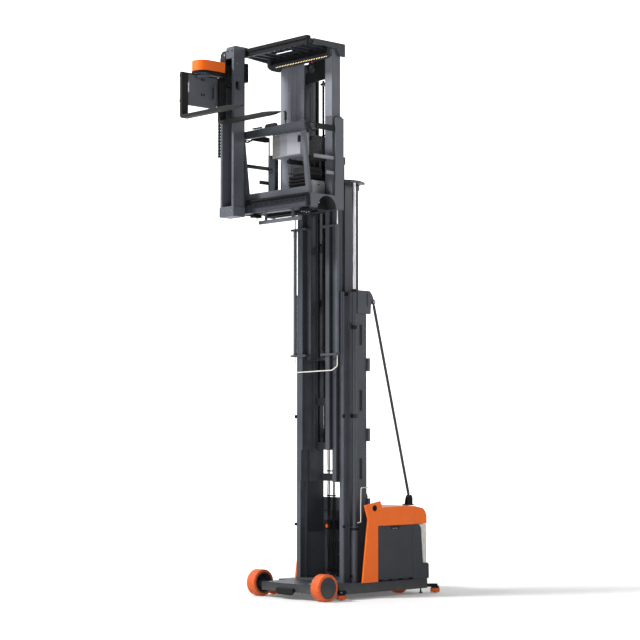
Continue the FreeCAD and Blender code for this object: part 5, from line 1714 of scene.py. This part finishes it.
@dataclass(frozen=True)
class Turret:
    """The small mast that carries the lift arm, with its gear housing, chain and cables.

    Attributes:
        middle: Its place across the truck.
        half: Half its width.
        link: The spacing of the cable chain's links.
    """

    middle: float = -700.0
    half: float = 150.0
    link: float = 45.0

    def build(self) -> None:
        """Build the turret's parts in place of its nodes."""
        self.build_mast()
        self.build_gear_head()
        self.build_foot()
        self.build_chains()
        self.build_bolts()

    def build_mast(self) -> None:
        """Build the mast's channels, head, foot and shoes in place of its node."""
        far, near = self.middle - self.half, self.middle + self.half
        form = Form().block((430, far, 5625), (640, far + 45, 7805), 5.0)
        form.plate(Axis.Y, ((430, 5625), (640, 5625), (640, 7805), (430, 7805), (430, 7395.4),
                            (528, 7395.4), (528, 7460), (604, 7460), (604, 7330), (528, 7330),
                            (528, 7395), (430, 7395)), near - 45, near, 0)
        form.plate(Axis.Y, ((430, 7795), (430, 7962), (444, 7975), (612, 7975), (640, 7946),
                            (640, 7795)), far + 122, near, 5.0)
        for low, high, out, edge in (
                ((430, 5625), (445, 7805), 0, 3.0), ((425, 5480), (650, 5630), 10, 9.0),
                ((420.3, 7835), (440, 7950), 0, 2.0), ((420.3, 5645), (440, 5715), 0, 2.0),
                ((375, 7950.3), (440, 7975), 0, 3.0)):
            form.block((low[0], far - out, low[1]), (high[0], near + out, high[1]), edge)
        form.turned(Axis.Z, (457, self.middle, 0), ((13, 5630), (13, 7800)))
        form.piece("turret_channels", Look.SLATE, "turret", replaces=["turret_mast"])

    def build_gear_head(self) -> None:
        """Build the rounded chain housing beside the mast's head, its bolts and the bracket."""
        far, near = self.middle - self.half, self.middle + self.half
        Form().plate(Axis.Y, (
            (436, 7702), (436, 7900), (452, 7935), (490, 7952), (560, 7948), (612, 7924),
            (640, 7878), (646, 7800), (640, 7716), (628, 7702)), far - 5, far + 118, 12.0).piece(
            "chain_housing", Look.BLACK_ABS, "turret", "black_steel")
        Form().block((378, near - 40, 7455), (434, near + 26, 7735), 9.0).piece(
            "cable_bracket", Look.BLACK_ABS, "turret")
        Form().disc(Axis.X, (643, far + 96, 7858), 17, 6, 2.0, 28).disc(
            Axis.Y, (572, near - 0.5, 7712), 12, 5, 1.5, 24).disc(
            Axis.X, (639.5, near - 22, 7780), 8, 4, 1.0).piece(
            "housing_bolts", Look.ZINC, "turret")

    def build_foot(self) -> None:
        """Build the foot's cover plate and its bolts."""
        y, screws = self.middle, Form()
        Form().block((438, y - self.half, 5484), (640, y + self.half, 5488), 1.5).piece(
            "turret_foot_plate", Look.BLACKENED, "turret")
        for dy in (-130, -45, 45, 130):
            screws.bolt(Axis.X, (650, y + dy, 5560), 1)
        screws.piece("turret_foot_bolts", Look.ZINC, "turret")

    def build_chains(self) -> None:
        """Build the cable chain's links in place of its node, and the mast's lift chain."""
        box = Span.of("energy_chain")
        low, high, form, pins = box.low, box.high, Form(), Form()
        for i in range(int((high.z - low.z) / self.link)):
            z = low.z + i * self.link
            for x, y, foot, front, left, top, edge in (
                    (low.x + 1, low.y + 1, 1, high.x - 1, low.y + 5, 35, 1.5),
                    (low.x + 1, high.y - 5, 1, high.x - 1, high.y - 1, 35, 1.5),
                    (high.x - 4, low.y + 1, 10, high.x, high.y - 1, 28, 1.2),
                    (low.x, low.y + 1, 10, low.x + 4, high.y - 1, 28, 1.2),
                    (low.x + 4, low.y + 3, 33, high.x - 4, high.y - 3, 46, 1.0)):
                form.block((x, y, z + foot), (front, left, z + top), edge)
            pins.disc(Axis.Y, (box.middle.x, low.y + 1, z + 40), 5, -1, 0.4, 14)
        form.piece("cable_chain", Look.BLACK_ABS, "turret", replaces=["energy_chain"])
        pins.piece("cable_chain_pins", Look.ZINC, "turret")
        chain_links(Form(), 460, self.middle + 62, 5680, 22.0, 78, (8, 1.6, 9), 19).piece(
            "turret_chain", Look.BLACKENED, "turret", smooth=20.0)

    def build_bolts(self) -> None:
        """Build the dark bolts on the top plate and along the mast's edges."""
        y, form = self.middle, Form()
        for dy in (20, 110):
            form.bolt(Axis.X, (640, y + dy, 7900), 1)
        for z in steps_between(5760, 7700, 9):
            for dy in (-132, 132):
                form.disc(Axis.X, (639.8, y + dy, z), 7, 2.6, 0.8)
        form.piece("turret_bolts", Look.BLACKENED, "turret")


@dataclass(frozen=True)
class LiftArm:
    """The arm over the forks, with its orange cover and the pivot under it.

    Attributes:
        nose: The rounding of the cover's top edge.
        pivot: The pivot's place along and across the truck.
    """

    nose: float = 30.0
    pivot: tuple[float, float] = (1100.0, -700.0)

    def build(self) -> None:
        """Build the arm's cover and small parts and finish its node."""
        dress(Look.BLACKENED, "lift_arm")
        Form.copy_of("arm_cover", self.nose, 40.0, 6).piece(
            "arm_cover_shell", Look.ORANGE, "lift_arm", replaces=["arm_cover"], smooth=50.0)
        (x, y), bolts, studs = self.pivot, Form(), Form()
        for i in range(9):
            angle = math.radians(-100 + 25 * i)
            bolts.bolt(Axis.Z, (x + 144 * math.cos(angle), y + 144 * math.sin(angle), 7515),
                       -1, 14.0)
        bolts.piece("arm_plate_bolts", Look.BLACKENED, "lift_arm")
        for along in (860, 980, 1100):
            for side in Side:
                studs.disc(Axis.Y, (along, y + side.value * 155.6, 7560), 8, side.value * 3, 0.8)
        studs.piece("cover_studs", Look.ORANGE, "lift_arm", "black_steel")
        Form().turned(Axis.Z, (x, y, 7507), (
            (88, 0), (104, 0), (108, 3), (108, 7.9), (88, 7.9)), 48).piece(
            "pivot_ring", Look.SLATE, "lift_arm", "light_grey_panel")


@dataclass(frozen=True)
class ForkHead:
    """The turning head and the two forks.

    Attributes:
        edge: The rounding along the forged forks.
        face: The place across the truck of the head's front face.
    """

    edge: float = 6.0
    face: float = -740.0

    def build(self) -> None:
        """Build the forks with forged edges, dark plates in the head's holes as painted shade, and
        its lip, bolts and hooks.
        """
        Form.copy_of("forks", self.edge, 25.0).piece(
            "forged_forks", Look.FORGED, "fork_head", replaces=["forks"])
        Form.copy_of("fork_carriage", 4.0, 35.0).piece(
            "head_plate", Look.SLATE, "fork_head", "black_steel", ["fork_carriage"])
        y, holes, bolts, hooks = self.face, Form(), Form(), Form()
        # Dark plates set in the head's holes: painted shade.
        for x in (1052, 1094):
            for z in (7196, 7412):
                holes.block((x, y + 24, z), (x + 24, y + 25.8, z + 32), 1.0)
        holes.block((888, y + 24, 7170), (904, y + 50, 7340), 2.0)
        holes.piece("head_hole_painted_shade", Look.BLACKENED, "fork_head")
        Form().block((800, y + 2, 7478), (1400, y + 22, 7500), 3.0).piece(
            "head_lip", Look.BLACKENED, "fork_head")
        for x, z in ((780, 7440), (850, 7440), (1340, 7440), (1410, 7440), (780, 7120),
                     (850, 7120), (1340, 7110), (1400, 7110)):
            bolts.bolt(Axis.Y, (x, y, z), -1, 20.0)
        bolts.piece("head_bolts", Look.ZINC, "fork_head")
        for x in (750, 1450):
            hooks.block((x - 3, y + 74.5, 6900), (x + 3, y + 75.4, 7460), 0)
            for z in (7080, 7440):
                hooks.block((x - 45, y - 1.5, z - 22), (x + 45, y + 24.5, z + 22), 4.0)
        hooks.piece("fork_hooks", Look.FORGED, "fork_head")


# --------------------------------------------------------------------------------------------
# Studio
# --------------------------------------------------------------------------------------------
@dataclass(frozen=True)
class Studio:
    """The pale floor, the soft lights and the camera.

    Attributes:
        eye: The camera's place in metres.
        heading: The direction that it looks from, in degrees from X.
        rise: How far it tilts up, in degrees.
        lens: Its focal length in millimetres on a 36 mm sensor.
    """

    eye: tuple[float, float, float] = (17.799, 19.241, 2.302)
    heading: float = 46.891
    rise: float = 3.702
    lens: float = 101.43

    def build(self) -> None:
        """Build the floor, the lights, the sky and the camera."""
        self.build_floor()
        self.build_lights()
        self.build_camera()

    @staticmethod
    def put(name: str, data: bpy.types.ID, place: Point = (0, 0, 0),
            way: Vector | None = None) -> bpy.types.Object:
        """Put something new in the scene.

        Args:
            name: The object's name.
            data: Its mesh, light or camera.
            place: Where it stands, in metres.
            way: The direction that it faces.

        Returns:
            The object.
        """
        thing = bpy.data.objects.new(name, data)
        thing.location = place
        if way:
            thing.rotation_euler = way.to_track_quat("-Z", "Y").to_euler()
        bpy.context.scene.collection.objects.link(thing)
        return thing

    def build_floor(self) -> None:
        """Build the wide pale floor and the wall that rises behind the truck in one sweep."""
        mesh = bmesh.new()
        turn = Matrix.Rotation(math.radians(self.heading), 4, "Z")
        right, left = ([mesh.verts.new(turn @ Vector((x, y, z - 0.0005))) for x, z in (
            (26, 0.0), (-14, 0.0), (-18, 0.25), (-21, 1.4), (-23, 3.6), (-24, 7), (-24, 26))]
            for y in (-40, 40))
        for a, b, c, d in zip(right, right[1:], left[1:], left):
            mesh.faces.new((a, b, c, d))
        data = bpy.data.meshes.new("studio_floor")
        mesh.to_mesh(data)
        mesh.free()
        data.shade_smooth()
        data.materials.append(Look.PAPER.value.make())
        self.put("studio_floor", data)

    def build_lights(self) -> None:
        """Build the large soft lamps round the truck and the even sky."""
        for name, place, target, size, power in (
                ("key", (17, -10, 20), (0, 0, 3.5), 6.0, 9600.0),
                ("front_fill", (14, 20, 8), (0, 0, 3.5), 8.0, 350.0),
                ("rear_fill", (-12, 14, 10), (0, 0, 4.0), 6.0, 700.0),
                ("low_fill", (15, 5, 1.5), (0, 0, 1.6), 3.0, 380.0),
                ("floor_bounce", (6, 6, 0.4), (0, 0, 6.5), 4.0, 260.0),
                ("top", (0, 0, 18), (0, 0, 0), 8.0, 700.0)):
            light = bpy.data.lights.new(name, "AREA")
            light.shape, light.size, light.energy = "DISK", size, power
            self.put(name, light, place, Vector(target) - Vector(place))
        scene = bpy.context.scene
        scene.world = bpy.data.worlds.new("even_sky")
        scene.world.use_nodes = True
        sky = scene.world.node_tree.nodes["Background"]
        sky.inputs["Color"].default_value = linear("#FFFFFF")
        sky.inputs["Strength"].default_value = 0.2
        scene.view_settings.view_transform = "Standard"

    def build_camera(self) -> None:
        """Build the camera and make it the scene's own."""
        data = bpy.data.cameras.new("camera")
        data.sensor_width, data.lens, data.clip_end = 36.0, self.lens, 200.0
        heading, rise = math.radians(self.heading), math.radians(self.rise)
        way = Vector((-math.cos(heading) * math.cos(rise), -math.sin(heading) * math.cos(rise),
                      math.sin(rise)))
        bpy.context.scene.camera = self.put("camera", data, self.eye, way)


def main() -> None:
    """Build the studio and every sub-assembly."""
    logging.basicConfig(level=logging.INFO, format="%(name)s: %(message)s")
    for part in (Studio(), Chassis(), Wheels(), Covers(), Mast(), LiftCylinders(), CabStructure(),
                 Roof(), Controls(), Seat(), Gates(), TraverseRails(), Turret(), LiftArm(),
                 ForkHead()):
        part.build()
        log.info("%s built", type(part).__name__)
    bpy.context.view_layer.update()


if __name__ == "__main__":
    main()
